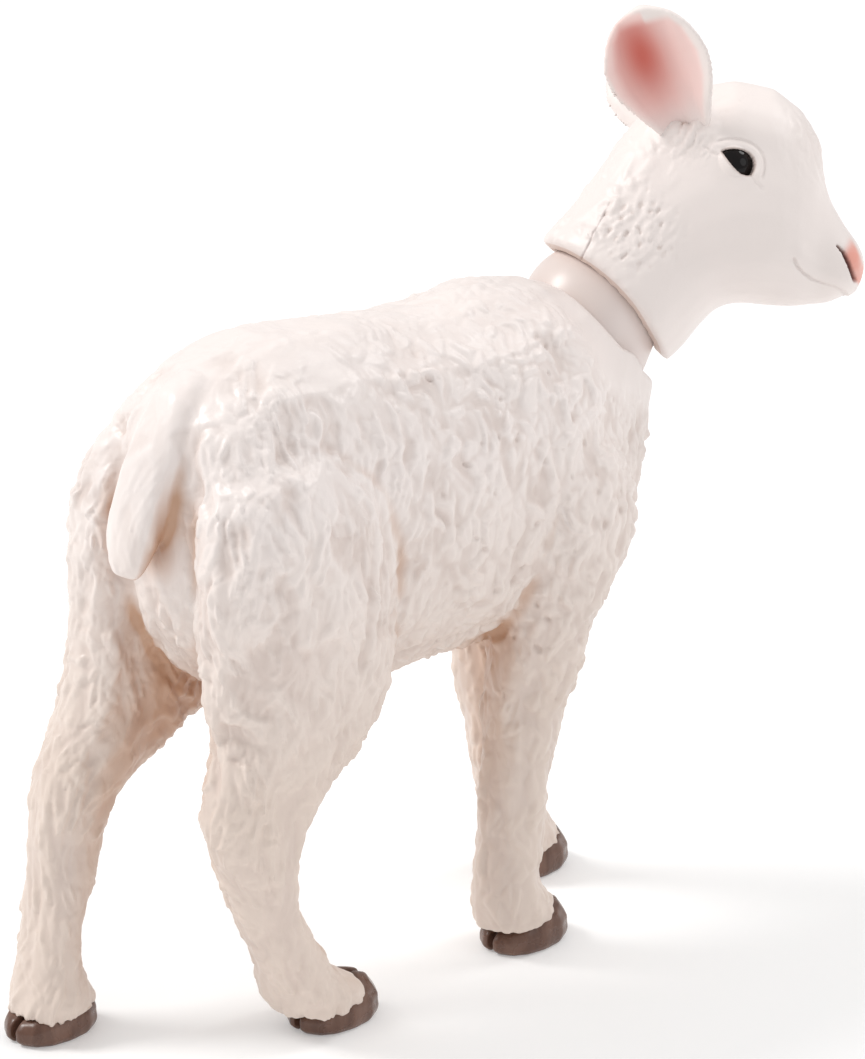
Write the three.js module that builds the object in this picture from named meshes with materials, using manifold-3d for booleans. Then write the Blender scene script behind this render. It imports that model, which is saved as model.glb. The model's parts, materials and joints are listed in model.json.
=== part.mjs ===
// Standing toy lamb: a hollow moulded body in two halves, plugged legs, hooves, ears and tail,
// and a hollow head that turns and nods on a slotted dome in the collar.
import * as THREE from 'three';
import { mergeVertices } from 'three/addons/utils/BufferGeometryUtils.js';
import Module from 'manifold-3d';

const wasm = await Module();
wasm.setup();

// Driving dimensions in millimetres and degrees. X points forward, Y to the lamb's left, Z up.
const trunk = { length: 100, height: 148, width: 60, wall: 2.4 };
const hindleg = { height: 134, depth: 50, breadth: 27 };
const foreleg = { height: 124, depth: 40, breadth: 24 };
const legPeg = { radius: 5, length: 8 };
const hoof = {
  length: 22.5, width: 16, height: 10.5, cleft: 1.4,
  pegRadius: 2.1, pegLength: 2.5, pegSetback: 3,
};
const tail = { length: 40, width: 14.5, pegRadius: 2.6 };
const collar = { radius: 17.8, rimWall: 1.7, rimTilt: 44, axisTilt: 59, archRise: 4 };
const deck = { recessDepth: 8, thickness: 2.6, ledge: 4.2 };
const dome = { rise: 3, wall: 2.4, flangeLip: 2.6, flangeThickness: 2, socketGap: 0.45 };
const tongue = { width: 7, thickness: 5, eyeRadius: 4.2, rise: 20.5, blockWidth: 11, blockHeight: 7 };
const pin = { radius: 1.6, inset: 0.8, bossWall: 1.8 };
const head = {
  length: 60, width: 35, wall: 2.6, splitBack: 6.5, skirtArch: 4.2,
  restTurn: -50, restNod: 4.7,
};
const nod = { down: 6, up: 20 };
const ear = { length: 30, width: 26, thickness: 2.2, cup: 5, pegRadius: 1.7, pegLength: 5 };
const eye = { radius: 4.2, height: 3.9, shankRadius: 2, shankLength: 2.6 };
const wool = { relief: 1.3, pitch: 20 };
const fit = 0.3;
const parting = 0.25;
const overrun = 40;

// Sizes that follow from the ones above
const domeRadius = collar.radius - collar.rimWall - fit;
const boreRadius = domeRadius - deck.ledge;
const flangeRadius = boreRadius + dome.flangeLip;
const underDeck = -(deck.recessDepth + deck.thickness);

// How much of its rows the wool covers on the trunk and on a leg, and over how much it fades out
const trunkWoolShare = 0.95;
const limbWoolShare = 0.7;
const woolFadeShare = 0.3;

// Facets round each kind of form
const facets = {
  trunk: 28, cavity: 18, limb: 14, hoof: 14, head: 26, ear: 12, eye: 14, round: 24, arc: 4, arch: 72,
};

const finishes = {
  fleece: { color: 0xf3ebe2, roughness: 0.55 },
  skin: { color: 0xefe3da, roughness: 0.45 },
  pink: { color: 0xf2b9ab, roughness: 0.5 },
  horn: { color: 0x6b4536, roughness: 0.35 },
  glass: { color: 0x0b0a0b, roughness: 0.06 },
  link: { color: 0xd9d2c8, roughness: 0.5 },
};

// Turns a closed geometry into a solid that can be cut and joined.
function solid(geometry) {
  const bare = geometry.clone();
  bare.deleteAttribute('normal');
  bare.deleteAttribute('uv');
  const merged = mergeVertices(bare, 1e-4);
  return new wasm.Manifold(new wasm.Mesh({
    numProp: 3,
    vertProperties: new Float32Array(merged.attributes.position.array),
    triVerts: new Uint32Array(merged.index.array),
  }));
}

// Keeps the largest body, so no sliver stays where a saddle runs out to a thin edge.
function largest(body) {
  return body.decompose().reduce((best, next) => (next.volume() > best.volume() ? next : best));
}

// Turns a solid back into a geometry with flat facets.
function geometryOf(body) {
  const mesh = body.getMesh();
  const geometry = new THREE.BufferGeometry();
  geometry.setAttribute('position', new THREE.BufferAttribute(mesh.vertProperties, mesh.numProp));
  geometry.setIndex(new THREE.BufferAttribute(mesh.triVerts, 1));
  geometry.computeVertexNormals();
  return geometry;
}

// Catmull-Rom value between b and c.
function blend(a, b, c, d, t) {
  const t2 = t * t;
  const t3 = t2 * t;
  return 0.5 * (2 * b + (c - a) * t + (2 * a - 5 * b + 4 * c - d) * t2 + (3 * b - a - 3 * c + d) * t3);
}

// Adds smooth rows between the given ones.
function refine(rows, steps) {
  const smooth = [];
  for (let i = 0; i + 1 < rows.length; i++) {
    const before = rows[Math.max(i - 1, 0)];
    const after = rows[Math.min(i + 2, rows.length - 1)];
    for (let k = 0; k < steps; k++) {
      smooth.push(rows[i].map((value, c) => blend(before[c], value, rows[i + 1][c], after[c], k / steps)));
    }
  }
  return [...smooth, rows.at(-1)];
}

// How far the wool swells out or sinks in at a place. Legs and trunk share the wave, so it runs on
// from one to the other.
function woolSwell({ x, y, z }) {
  const turn = (2 * Math.PI) / wool.pitch;
  const [a, b, c] = [x * turn, y * turn, z * turn];
  const wave = Math.sin(a) * Math.cos(b) + Math.sin(b) * Math.cos(c) + Math.sin(c) * Math.cos(a);
  return (wave / 3) * wool.relief;
}

// Lofts closed sections. A row is [x, z] of the lower edge, [x, z] of the upper edge, the sideways
// offset and the half width of one section. grow moves the skin out, or in when it is negative.
// The wool covers the share of the rows that woolShare gives, and fades out before its end.
function loft(rows, { steps = 2, sides, grow = 0, fullness = 2.2, crown = 0.5, woolShare = 0 } = {}) {
  const rings = refine(rows, steps).map(([ax, az, bx, bz, side, half], i, all) => {
    const span = Math.hypot(bx - ax, bz - az);
    const unit = { x: (bx - ax) / span, z: (bz - az) / span };
    const mid = { x: ax + unit.x * crown * span, z: az + unit.z * crown * span };
    const cover = 1 - THREE.MathUtils.smoothstep(i / all.length, woolShare - woolFadeShare, woolShare);
    const ring = [];
    for (let k = 0; k < sides; k++) {
      const angle = (2 * Math.PI * k) / sides;
      const power = 2 / fullness;
      const across = Math.sign(Math.cos(angle)) * Math.abs(Math.cos(angle)) ** power;
      const lift = Math.sign(Math.sin(angle)) * Math.abs(Math.sin(angle)) ** power;
      const reach = (lift > 0 ? 1 - crown : crown) * span;
      const place = (out) => {
        const along = lift * (reach + out);
        return at(mid.x + unit.x * along, side + across * (half + out), mid.z + unit.z * along);
      };
      ring.push(place(grow + cover * woolSwell(place(0))));
    }
    return ring;
  });
  return closeRings(rings);
}

// Skins a list of rings and closes both ends with a fan.
function closeRings(rings) {
  const sides = rings[0].length;
  const points = rings.flat();
  const faces = [];
  for (let i = 0; i + 1 < rings.length; i++) {
    for (let k = 0; k < sides; k++) {
      const a = i * sides + k;
      const b = i * sides + (k + 1) % sides;
      faces.push(a, b, b + sides, a, b + sides, a + sides);
    }
  }
  const last = (rings.length - 1) * sides;
  for (const [ring, start, flip] of [[rings[0], 0, true], [rings.at(-1), last, false]]) {
    const middle = points.length;
    points.push(ring.reduce((sum, p) => sum.add(p), new THREE.Vector3()).divideScalar(sides));
    for (let k = 0; k < sides; k++) {
      const a = start + k;
      const b = start + (k + 1) % sides;
      faces.push(...(flip ? [middle, b, a] : [middle, a, b]));
    }
  }
  return faceOut(points, faces);
}

// Makes a geometry whose faces point out, whichever way the rings ran.
function faceOut(points, faces) {
  let volume = 0;
  for (let i = 0; i < faces.length; i += 3) {
    const [a, b, c] = [points[faces[i]], points[faces[i + 1]], points[faces[i + 2]]];
    volume += a.dot(b.clone().cross(c));
  }
  if (volume < 0) faces.reverse();
  const geometry = new THREE.BufferGeometry();
  geometry.setAttribute('position', new THREE.Float32BufferAttribute(points.flatMap((p) => p.toArray()), 3));
  geometry.setIndex(faces);
  return geometry;
}

function box(x0, x1, y0, y1, z0, z1) {
  const geometry = new THREE.BoxGeometry(x1 - x0, y1 - y0, z1 - z0);
  return geometry.translate((x0 + x1) / 2, (y0 + y1) / 2, (z0 + z1) / 2);
}

function at(x, y, z) {
  return new THREE.Vector3(x, y, z);
}

// A cylinder between two points.
function rod(radius, from, to) {
  const along = to.clone().sub(from);
  const geometry = new THREE.CylinderGeometry(radius, radius, along.length(), facets.round);
  geometry.applyQuaternion(new THREE.Quaternion().setFromUnitVectors(at(0, 1, 0), along.normalize()));
  const middle = from.clone().add(to).divideScalar(2);
  return geometry.translate(middle.x, middle.y, middle.z);
}

// A ball about the centre of the dome, in the frame of the neck.
function ball(radius, height) {
  const sphere = new THREE.SphereGeometry(radius, facets.round, facets.round / 2);
  return sphere.rotateX(Math.PI / 2).translate(0, 0, height);
}

// The trunk, from the rump to the collar. Rows hold the belly edge, the back edge and the half width.
const trunkShares = [
  [-0.600, 0.75, -0.600, 0.85, 0.15],
  [-0.585, 0.67, -0.572, 0.945, 0.35],
  [-0.530, 0.585, -0.517, 1.000, 0.44],
  [-0.390, 0.520, -0.390, 1.043, 0.475],
  [-0.200, 0.493, -0.200, 1.050, 0.475],
  [0.000, 0.487, 0.000, 1.030, 0.485],
  [0.200, 0.487, 0.200, 1.015, 0.495],
  [0.380, 0.487, 0.350, 1.028, 0.48],
  [0.530, 0.500, 0.440, 1.022, 0.44],
  [0.650, 0.553, 0.490, 1.012, 0.39],
  [0.720, 0.645, 0.520, 1.005, 0.345],
  [0.760, 0.735, 0.540, 1.000, 0.315],
];

// The centre of the collar's rim, as shares of the trunk's length and height.
const collarShares = { x: 0.672, z: 0.91 };
const collarCentre = at(collarShares.x * trunk.length, 0, collarShares.z * trunk.height);

function trunkRows() {
  const rows = trunkShares.map(([ax, az, bx, bz, half]) => [
    ax * trunk.length, az * trunk.height, bx * trunk.length, bz * trunk.height, 0, half * trunk.width,
  ]);
  const tilt = THREE.MathUtils.degToRad(collar.rimTilt);
  const reach = { x: Math.sin(tilt) * collar.radius, z: Math.cos(tilt) * collar.radius };
  rows.push([
    collarCentre.x + reach.x, collarCentre.z - reach.z, collarCentre.x - reach.x, collarCentre.z + reach.z,
    0, collar.radius,
  ]);
  return rows;
}

// A frame at the collar's centre whose Z leans forward from level by the tilt, X towards the chest.
function collarFrame(tilt) {
  const turn = new THREE.Matrix4().makeRotationY(THREE.MathUtils.degToRad(90 - tilt));
  return new THREE.Matrix4().makeTranslation(collarCentre).multiply(turn);
}

const neckFrame = collarFrame(collar.axisTilt);

// What the arched collar edge leaves out: it is high at nape and chest, low at both sides.
function collarArch() {
  const radius = (collar.radius ** 2 + collar.archRise ** 2) / (2 * collar.archRise);
  const roof = new THREE.CylinderGeometry(radius, radius, 2 * collar.radius + overrun, facets.arch);
  roof.rotateZ(Math.PI / 2).translate(0, 0, -radius);
  const reach = collar.radius + fit;
  const band = box(-reach, reach, -reach, reach, -2 * collar.archRise, 2 * collar.archRise);
  return solid(band).subtract(solid(roof)).transform(collarFrame(collar.rimTilt).elements);
}

// The hollow trunk with the deck in its collar, before it is split.
function hollowTrunk() {
  const inNeck = (geometry) => solid(geometry.applyMatrix4(neckFrame));
  const { length, width, height } = trunk;
  const below = inNeck(box(-2 * length, length, -width, width, -2 * height, underDeck));
  const inset = -(trunk.wall + wool.relief / 2);
  const cavity = solid(loft(trunkRows().slice(1), { steps: 1, sides: facets.cavity, grow: inset }));
  const recess = inNeck(rod(domeRadius + fit, at(0, 0, -deck.recessDepth), at(0, 0, overrun)));
  const bore = inNeck(rod(boreRadius + fit, at(0, 0, underDeck - overrun), at(0, 0, overrun)));
  const cased = trunkSkin(0).subtract(cavity.intersect(below));
  return cased.subtract(recess).subtract(bore).subtract(collarArch());
}

function trunkSkin(grow) {
  return solid(loft(trunkRows(), { sides: facets.trunk, grow, woolShare: trunkWoolShare }));
}

const hindTopShares = [
  [-0.14, 1.035, 0.10, 1.035, 0.80, 0.24],
  [-0.37, 0.985, 0.34, 0.985, 0.90, 0.44],
  [-0.46, 0.895, 0.50, 0.890, 1.04, 0.51],
  [-0.48, 0.780, 0.55, 0.770, 1.07, 0.52],
];
const hindRightShares = [
  [-0.44, 0.675, 0.54, 0.650, 1.05, 0.49],
  [-0.39, 0.580, 0.47, 0.540, 1.03, 0.45],
  [-0.41, 0.500, 0.20, 0.450, 1.02, 0.40],
  [-0.44, 0.430, 0.04, 0.375, 1.00, 0.36],
  [-0.37, 0.345, 0.00, 0.300, 1.00, 0.33],
  [-0.25, 0.235, 0.06, 0.205, 0.98, 0.31],
  [-0.14, 0.140, 0.20, 0.125, 0.95, 0.33],
  [-0.07, 0.075, 0.36, 0.080, 0.92, 0.38],
  [0.00, 0.042, 0.40, 0.050, 0.92, 0.36],
];
const hindLeftShares = [
  [-0.50, 0.650, 0.40, 0.620, 1.07, 0.49],
  [-0.55, 0.555, 0.17, 0.515, 1.08, 0.45],
  [-0.64, 0.480, -0.17, 0.440, 1.09, 0.40],
  [-0.72, 0.415, -0.39, 0.370, 1.09, 0.35],
  [-0.73, 0.325, -0.47, 0.295, 1.09, 0.31],
  [-0.76, 0.205, -0.54, 0.200, 1.08, 0.29],
  [-0.82, 0.115, -0.55, 0.115, 1.07, 0.31],
  [-0.87, 0.060, -0.50, 0.068, 1.06, 0.34],
  [-0.87, 0.035, -0.50, 0.045, 1.06, 0.32],
];
const foreTopShares = [
  [-0.16, 1.020, 0.12, 1.020, 0.78, 0.24],
  [-0.34, 0.950, 0.34, 0.950, 0.98, 0.46],
  [-0.42, 0.840, 0.40, 0.820, 1.12, 0.54],
];
const foreRightShares = [
  [-0.43, 0.715, 0.26, 0.690, 1.12, 0.52],
  [-0.47, 0.590, 0.08, 0.570, 1.02, 0.44],
  [-0.50, 0.475, -0.02, 0.460, 1.00, 0.38],
  [-0.53, 0.365, -0.11, 0.350, 1.00, 0.34],
  [-0.56, 0.250, -0.18, 0.245, 1.00, 0.31],
  [-0.57, 0.155, -0.19, 0.150, 0.97, 0.31],
  [-0.56, 0.090, -0.10, 0.087, 0.95, 0.36],
  [-0.53, 0.050, -0.06, 0.060, 0.95, 0.34],
];
const foreLeftShares = [
  [-0.24, 0.715, 0.36, 0.690, 1.10, 0.52],
  [-0.03, 0.590, 0.36, 0.570, 0.98, 0.44],
  [0.05, 0.475, 0.38, 0.460, 0.86, 0.38],
  [0.09, 0.365, 0.42, 0.350, 0.78, 0.34],
  [0.10, 0.250, 0.46, 0.245, 0.71, 0.31],
  [0.16, 0.155, 0.54, 0.150, 0.66, 0.31],
  [0.18, 0.090, 0.64, 0.087, 0.63, 0.36],
  [0.22, 0.050, 0.68, 0.060, 0.63, 0.34],
];

// Where each leg meets the trunk's length, how high its peg sits, and how far out it stands.
const legShares = { hip: -0.40, shoulder: 0.42, peg: 0.84, hindSpread: 0.317, foreSpread: 0.30 };
const hind = {
  limb: hindleg, x: legShares.hip * trunk.length, spread: legShares.hindSpread * trunk.width,
};
const fore = {
  limb: foreleg, x: legShares.shoulder * trunk.length, spread: legShares.foreSpread * trunk.width,
};

// The foot's share is the hoof's place before or behind the leg's root, in depths of that leg.
const legs = {
  rear_left: { ...hind, side: 1, shares: [...hindTopShares, ...hindLeftShares], footShare: -0.70 },
  rear_right: { ...hind, side: -1, shares: [...hindTopShares, ...hindRightShares], footShare: 0.28 },
  front_left: { ...fore, side: 1, shares: [...foreTopShares, ...foreLeftShares], footShare: 0.46 },
  front_right: { ...fore, side: -1, shares: [...foreTopShares, ...foreRightShares], footShare: -0.2375 },
};

function limbRows({ shares, limb, x, spread, side }) {
  return shares.map(([ax, az, bx, bz, offset, half]) => [
    x + ax * limb.depth, az * limb.height, x + bx * limb.depth, bz * limb.height,
    side * offset * spread, half * limb.breadth,
  ]);
}

// The middle of a hoof's sole, under the last row of its leg.
function footPlace(leg) {
  const lastRow = limbRows(leg).at(-1);
  return at(leg.x + leg.footShare * leg.limb.depth, lastRow[4], 0);
}

function legPegRod(leg, grow) {
  const height = legShares.peg * leg.limb.height;
  const inner = leg.side * (trunk.width / 2 - legPeg.length - grow);
  const outer = leg.side * trunk.width;
  return solid(rod(legPeg.radius + grow, at(leg.x, inner, height), at(leg.x, outer, height)));
}

// One leg: a tapering limb saddled on the trunk, a peg through the trunk's wall, a seat for the hoof.
function legSolid(leg, trunkRoom, tailRoom) {
  const whole = solid(loft(limbRows(leg), { sides: facets.limb, woolShare: limbWoolShare }));
  const peg = whole.intersect(legPegRod(leg, 0));
  const foot = footPlace(leg);
  const hoofRoom = solid(hoofGeometry(fit).translate(foot.x, foot.y, 0));
  const socketTop = hoof.height + hoof.pegLength + fit;
  const socketX = foot.x - hoof.pegSetback;
  const socket = solid(rod(hoof.pegRadius + fit, at(socketX, foot.y, 0), at(socketX, foot.y, socketTop)));
  const limb = whole.subtract(trunkRoom).subtract(tailRoom).subtract(hoofRoom).subtract(socket);
  return largest(limb.add(peg));
}

// A cloven hoof around its own sole centre: heel edge, toe edge and half width of each section.
const hoofShares = [
  [-0.42, 0.00, 0.44, 0.00, 0.45],
  [-0.49, 0.14, 0.51, 0.16, 0.50],
  [-0.48, 0.34, 0.49, 0.52, 0.50],
  [-0.42, 0.48, 0.38, 0.88, 0.45],
  [-0.34, 0.56, 0.24, 1.00, 0.36],
];

function hoofGeometry(grow) {
  const rows = hoofShares.map(([ax, az, bx, bz, half]) => [
    ax * hoof.length, az * hoof.height, bx * hoof.length, bz * hoof.height, 0, half * hoof.width,
  ]);
  return loft(rows, { steps: 1, sides: facets.hoof, grow, fullness: 2.3 });
}

// The hoof is cloven at toe and heel, with a shallow groove along its sole between them.
function hoofSolid() {
  const setback = -hoof.pegSetback;
  const pegTop = hoof.height + hoof.pegLength;
  const peg = rod(hoof.pegRadius, at(setback, 0, hoof.height / 2), at(setback, 0, pegTop));
  const cut = hoof.cleft / 2;
  const toe = solid(box(hoof.length / 8, overrun, -cut, cut, -overrun, hoof.height));
  const heel = solid(box(-overrun, -hoof.length / 4, -cut, cut, -overrun, hoof.height));
  const sole = solid(box(-overrun, overrun, -cut, cut, -overrun, hoof.height / 5));
  return solid(hoofGeometry(0)).subtract(toe).subtract(heel).subtract(sole).add(solid(peg));
}

const tailShares = [
  [0.10, -0.02, 0.02, 0.16, 0.34],
  [-0.03, -0.13, -0.18, 0.07, 0.47],
  [-0.15, -0.34, -0.34, -0.19, 0.50],
  [-0.25, -0.56, -0.46, -0.45, 0.50],
  [-0.33, -0.77, -0.53, -0.69, 0.45],
  [-0.41, -0.92, -0.52, -0.88, 0.28],
];

// The tail's root and its peg, as shares of the trunk's length and height.
const tailRootShares = { x: -0.49, z: 0.985, pegHeight: 0.93 };

function tailSkin(grow) {
  const root = at(tailRootShares.x * trunk.length, 0, tailRootShares.z * trunk.height);
  const rows = tailShares.map(([ax, az, bx, bz, half]) => [
    root.x + ax * tail.length, root.z + az * tail.length,
    root.x + bx * tail.length, root.z + bz * tail.length, 0, half * tail.width,
  ]);
  return solid(loft(rows, { sides: facets.limb, grow, fullness: 2.3 }));
}

function tailPegRod(grow) {
  const height = tailRootShares.pegHeight * trunk.height;
  return solid(rod(tail.pegRadius + grow, at(-trunk.length, 0, height), at(0, 0, height)));
}

function tailSolid(trunkRoom) {
  const whole = tailSkin(0);
  return largest(whole.subtract(trunkRoom).add(whole.intersect(tailPegRod(0))));
}

// The neck: a hollow dome on a shank, with a flange that the deck traps, bosses that hold the nod pin
// by its ends, and a slot in its crown for the tongue. Z is the turning axis, from the collar's centre.
function neckSolid() {
  const flangeTop = underDeck - fit;
  const seat = fit - deck.recessDepth;
  const shankInside = boreRadius - dome.wall;
  const profile = new THREE.Path();
  profile.moveTo(shankInside, flangeTop - dome.flangeThickness);
  profile.lineTo(flangeRadius, flangeTop - dome.flangeThickness);
  profile.lineTo(flangeRadius, flangeTop);
  profile.lineTo(boreRadius, flangeTop);
  profile.lineTo(boreRadius, seat);
  profile.lineTo(domeRadius, seat);
  profile.absarc(0, dome.rise, domeRadius, 0, Math.PI / 2, false);
  profile.absarc(0, dome.rise, domeRadius - dome.wall, Math.PI / 2, 0, true);
  profile.lineTo(shankInside, seat + dome.wall);
  profile.closePath();
  const turned = new THREE.LatheGeometry(profile.getPoints(facets.arc), facets.round).rotateX(Math.PI / 2);
  const inside = solid(ball(domeRadius - dome.wall / 2, dome.rise));
  let body = solid(turned);
  for (const side of [-1, 1]) {
    const inner = at(0, side * (tongue.thickness / 2 + fit), dome.rise);
    const outer = at(0, side * domeRadius, dome.rise);
    body = body.add(solid(rod(pin.radius + pin.bossWall, inner, outer)).intersect(inside));
  }
  return body.subtract(solid(pinGeometry(fit))).subtract(tongueSlot());
}

// The slot leaves the tongue room to swing from its lowest nod to its highest.
function tongueSlot() {
  const swing = (angle) => Math.sin(THREE.MathUtils.degToRad(angle)) * domeRadius;
  const half = tongue.width / 2 + fit;
  const side = tongue.thickness / 2 + fit;
  const back = -half - swing(nod.up - head.restNod);
  const front = half + swing(nod.down + head.restNod);
  return solid(box(back, front, -side, side, dome.rise + tongue.eyeRadius, overrun));
}

function pinGeometry(grow) {
  const half = domeRadius - dome.wall - pin.inset + grow;
  return rod(pin.radius + grow, at(0, -half, dome.rise), at(0, half, dome.rise));
}

// The tongue hangs the head on the pin: an eye below, a stem, and a block held in the head's pocket.
function tongueSolid() {
  const half = tongue.width / 2;
  const side = tongue.thickness / 2;
  const block = tongue.blockWidth / 2;
  const loop = solid(rod(tongue.eyeRadius, at(0, -side, 0), at(0, side, 0)));
  const stem = solid(box(-half, half, -side, side, 0, tongue.rise + tongue.blockHeight / 2));
  const top = solid(box(-block, block, -block, block, tongue.rise, tongue.rise + tongue.blockHeight));
  const bore = solid(rod(pin.radius + fit, at(0, -overrun, 0), at(0, overrun, 0)));
  return loop.add(stem).add(top).subtract(bore);
}

// The pocket for the tongue is open to the head's parting face, so that it drops in from behind.
function tonguePocket() {
  const half = tongue.width / 2 + fit;
  const side = tongue.thickness / 2 + fit;
  const block = tongue.blockWidth / 2 + fit;
  const top = tongue.rise + tongue.blockHeight + fit;
  const channel = solid(box(-head.splitBack, half, -side, side, 0, tongue.rise));
  return channel.add(solid(box(-head.splitBack, block, -block, block, tongue.rise - fit, top)));
}

// The head, from the skirt's rim round to the nose, about the centre of the dome.
const headShares = [
  [0.335, -0.03, -0.288, 0.163, 0.53],
  [0.363, 0.050, -0.260, 0.258, 0.515],
  [0.383, 0.150, -0.233, 0.367, 0.50],
  [0.408, 0.225, -0.213, 0.500, 0.49],
  [0.450, 0.267, -0.200, 0.633, 0.49],
  [0.500, 0.293, -0.150, 0.783, 0.50],
  [0.550, 0.313, -0.050, 0.915, 0.50],
  [0.600, 0.333, 0.083, 1.018, 0.485],
  [0.642, 0.350, 0.233, 1.055, 0.45],
  [0.675, 0.367, 0.367, 1.030, 0.40],
  [0.700, 0.383, 0.467, 0.955, 0.345],
  [0.725, 0.398, 0.535, 0.852, 0.30],
  [0.752, 0.412, 0.615, 0.772, 0.27],
  [0.777, 0.430, 0.700, 0.715, 0.255],
  [0.802, 0.455, 0.770, 0.680, 0.24],
  [0.829, 0.490, 0.815, 0.645, 0.20],
  [0.842, 0.522, 0.838, 0.605, 0.115],
];

// The rows between which the head is hollow in front of the tongue's pocket
const hollowRows = { first: 5, end: 13 };

function headRows() {
  return headShares.map(([ax, az, bx, bz, half]) => [
    ax * head.length, az * head.length, bx * head.length, bz * head.length, 0, half * head.width,
  ]);
}

function headSkin(grow) {
  return solid(loft(headRows(), { steps: 1, sides: facets.head, grow, crown: 0.52 }));
}

// The rim of the skirt is arched: low at nape and throat, high at both sides.
function skirtArch() {
  const [throatX, throatZ, napeX, napeZ, , half] = headRows()[0];
  const radius = (half ** 2 + head.skirtArch ** 2) / (2 * head.skirtArch);
  const tilt = Math.atan2(throatZ - napeZ, throatX - napeX);
  const arch = new THREE.CylinderGeometry(radius, radius, 4 * head.length, facets.arch);
  arch.rotateZ(Math.PI / 2).translate(0, 0, radius).rotateY(-tilt);
  return solid(arch.translate((throatX + napeX) / 2, 0, (throatZ + napeZ) / 2));
}

function headSolid() {
  const inner = headRows().slice(hollowRows.first, hollowRows.end);
  const hollow = solid(loft(inner, { steps: 1, sides: facets.cavity, grow: -head.wall, crown: 0.52 }));
  const socket = solid(ball(domeRadius + dome.socketGap, 0));
  let body = headSkin(0).intersect(skirtArch()).subtract(socket).subtract(hollow).subtract(tonguePocket());
  for (const side of [-1, 1]) {
    body = body.subtract(solid(eyeGeometry(side, fit))).subtract(earPeg(side, fit));
  }
  return body;
}

// An ear's root, in shares of the head's length and width, and the directions it lies in.
const earRootShares = { x: 0.01, y: 0.37, z: 0.78 };
const earLean = { back: 0.66, out: 0.52, up: 0.54 };
const earFace = { front: 0.93, out: 0.12, up: 0.35 };

// A place on the head from its shares, on the left for side 1 and the right for side -1.
function inHead({ x, y, z }, side) {
  return at(x * head.length, side * y * head.width, z * head.length);
}

function earFrame(side) {
  const root = inHead(earRootShares, side);
  const along = at(-earLean.back, side * earLean.out, earLean.up).normalize();
  const across = at(earFace.front, side * earFace.out, earFace.up);
  across.addScaledVector(along, -across.dot(along)).normalize();
  const out = new THREE.Vector3().crossVectors(across, along).multiplyScalar(-side);
  return { root, along, across, out };
}

// The ear's leaf: place along it, then shares of half its width, its thickness and its cup.
const earShares = [
  [0.00, 0.39, 1.60, 0.55],
  [0.20, 0.67, 1.38, 0.90],
  [0.40, 0.88, 1.22, 1.00],
  [0.60, 0.95, 1.10, 0.86],
  [0.80, 0.78, 1.02, 0.50],
  [0.93, 0.49, 1.00, 0.22],
  [1.00, 0.10, 1.00, 0.10],
];

function earLeaf(side) {
  const { root, along, across, out } = earFrame(side);
  const rings = refine(earShares, 2).map(([place, half, thick, cup]) => {
    const ring = [];
    for (let k = 0; k < facets.ear; k++) {
      const angle = (2 * Math.PI * k) / facets.ear;
      const width = Math.cos(angle) * half * ear.width / 2;
      const depth = Math.sin(angle) * thick * ear.thickness / 2 + Math.cos(angle) ** 2 * cup * ear.cup;
      const centre = root.clone().addScaledVector(along, place * ear.length);
      ring.push(centre.addScaledVector(across, width).addScaledVector(out, depth));
    }
    return ring;
  });
  return solid(closeRings(rings));
}

function earPeg(side, grow) {
  const { root, along } = earFrame(side);
  const inner = root.clone().addScaledVector(along, -ear.pegLength - grow);
  return solid(rod(ear.pegRadius + grow, inner, root.clone().addScaledVector(along, ear.pegLength)));
}

function earSolid(side) {
  return largest(earLeaf(side).subtract(headSkin(fit)).add(earPeg(side, 0)));
}

// An eye's seat, in shares of the head's length and width, and the way that it looks
const eyeSeatShares = { x: 0.235, y: 0.40, z: 0.712 };
const eyeGaze = { front: 0.22, out: 1, up: 0.1 };

// A domed eye on a short shank.
function eyeGeometry(side, grow) {
  const shank = eye.shankRadius + grow;
  const profile = new THREE.Path();
  profile.moveTo(0, -eye.shankLength - grow);
  profile.lineTo(shank, -eye.shankLength - grow);
  profile.lineTo(shank, -grow);
  profile.absellipse(0, -grow, eye.radius + grow, eye.height + 2 * grow, 0, Math.PI / 2, false, 0);
  const shape = new THREE.LatheGeometry(profile.getPoints(facets.arc - 1), facets.eye);
  const gaze = at(eyeGaze.front, side * eyeGaze.out, eyeGaze.up).normalize();
  shape.applyQuaternion(new THREE.Quaternion().setFromUnitVectors(at(0, 1, 0), gaze));
  return shape.translate(...inHead(eyeSeatShares, side));
}

function piece(name, shape, finish) {
  const geometry = shape instanceof THREE.BufferGeometry ? shape : geometryOf(shape);
  const material = new THREE.MeshStandardMaterial({ ...finishes[finish], metalness: 0 });
  const mesh = new THREE.Mesh(geometry, material);
  mesh.name = name;
  return mesh;
}

const sides = [['left', 1], ['right', -1]];

// All the room on one side of the middle, but for half the parting gap.
function sideRoom(side) {
  const low = side > 0 ? parting / 2 : -trunk.width;
  const high = side > 0 ? trunk.width : -parting / 2;
  return solid(box(-2 * trunk.length, 2 * trunk.length, low, high, -2 * trunk.height, 2 * trunk.height));
}

// The trunk's halves, cut through for every peg, and the legs, hooves and tail plugged into them
function standingBody() {
  const group = new THREE.Group();
  const trunkRoom = trunkSkin(fit);
  const tailRoom = tailSkin(fit);
  let shell = hollowTrunk().subtract(tailPegRod(fit));
  for (const [name, leg] of Object.entries(legs)) {
    shell = shell.subtract(legPegRod(leg, fit));
    group.add(piece(`leg_${name}`, legSolid(leg, trunkRoom, tailRoom), 'fleece'));
    const foot = piece(`hoof_${name}`, hoofSolid(), 'horn');
    foot.position.copy(footPlace(leg));
    group.add(foot);
  }
  for (const [name, side] of sides) {
    group.add(piece(`body_shell_${name}`, shell.intersect(sideRoom(side)), 'fleece'));
  }
  group.add(piece('tail', tailSolid(trunkRoom), 'fleece'));
  return group;
}

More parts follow.
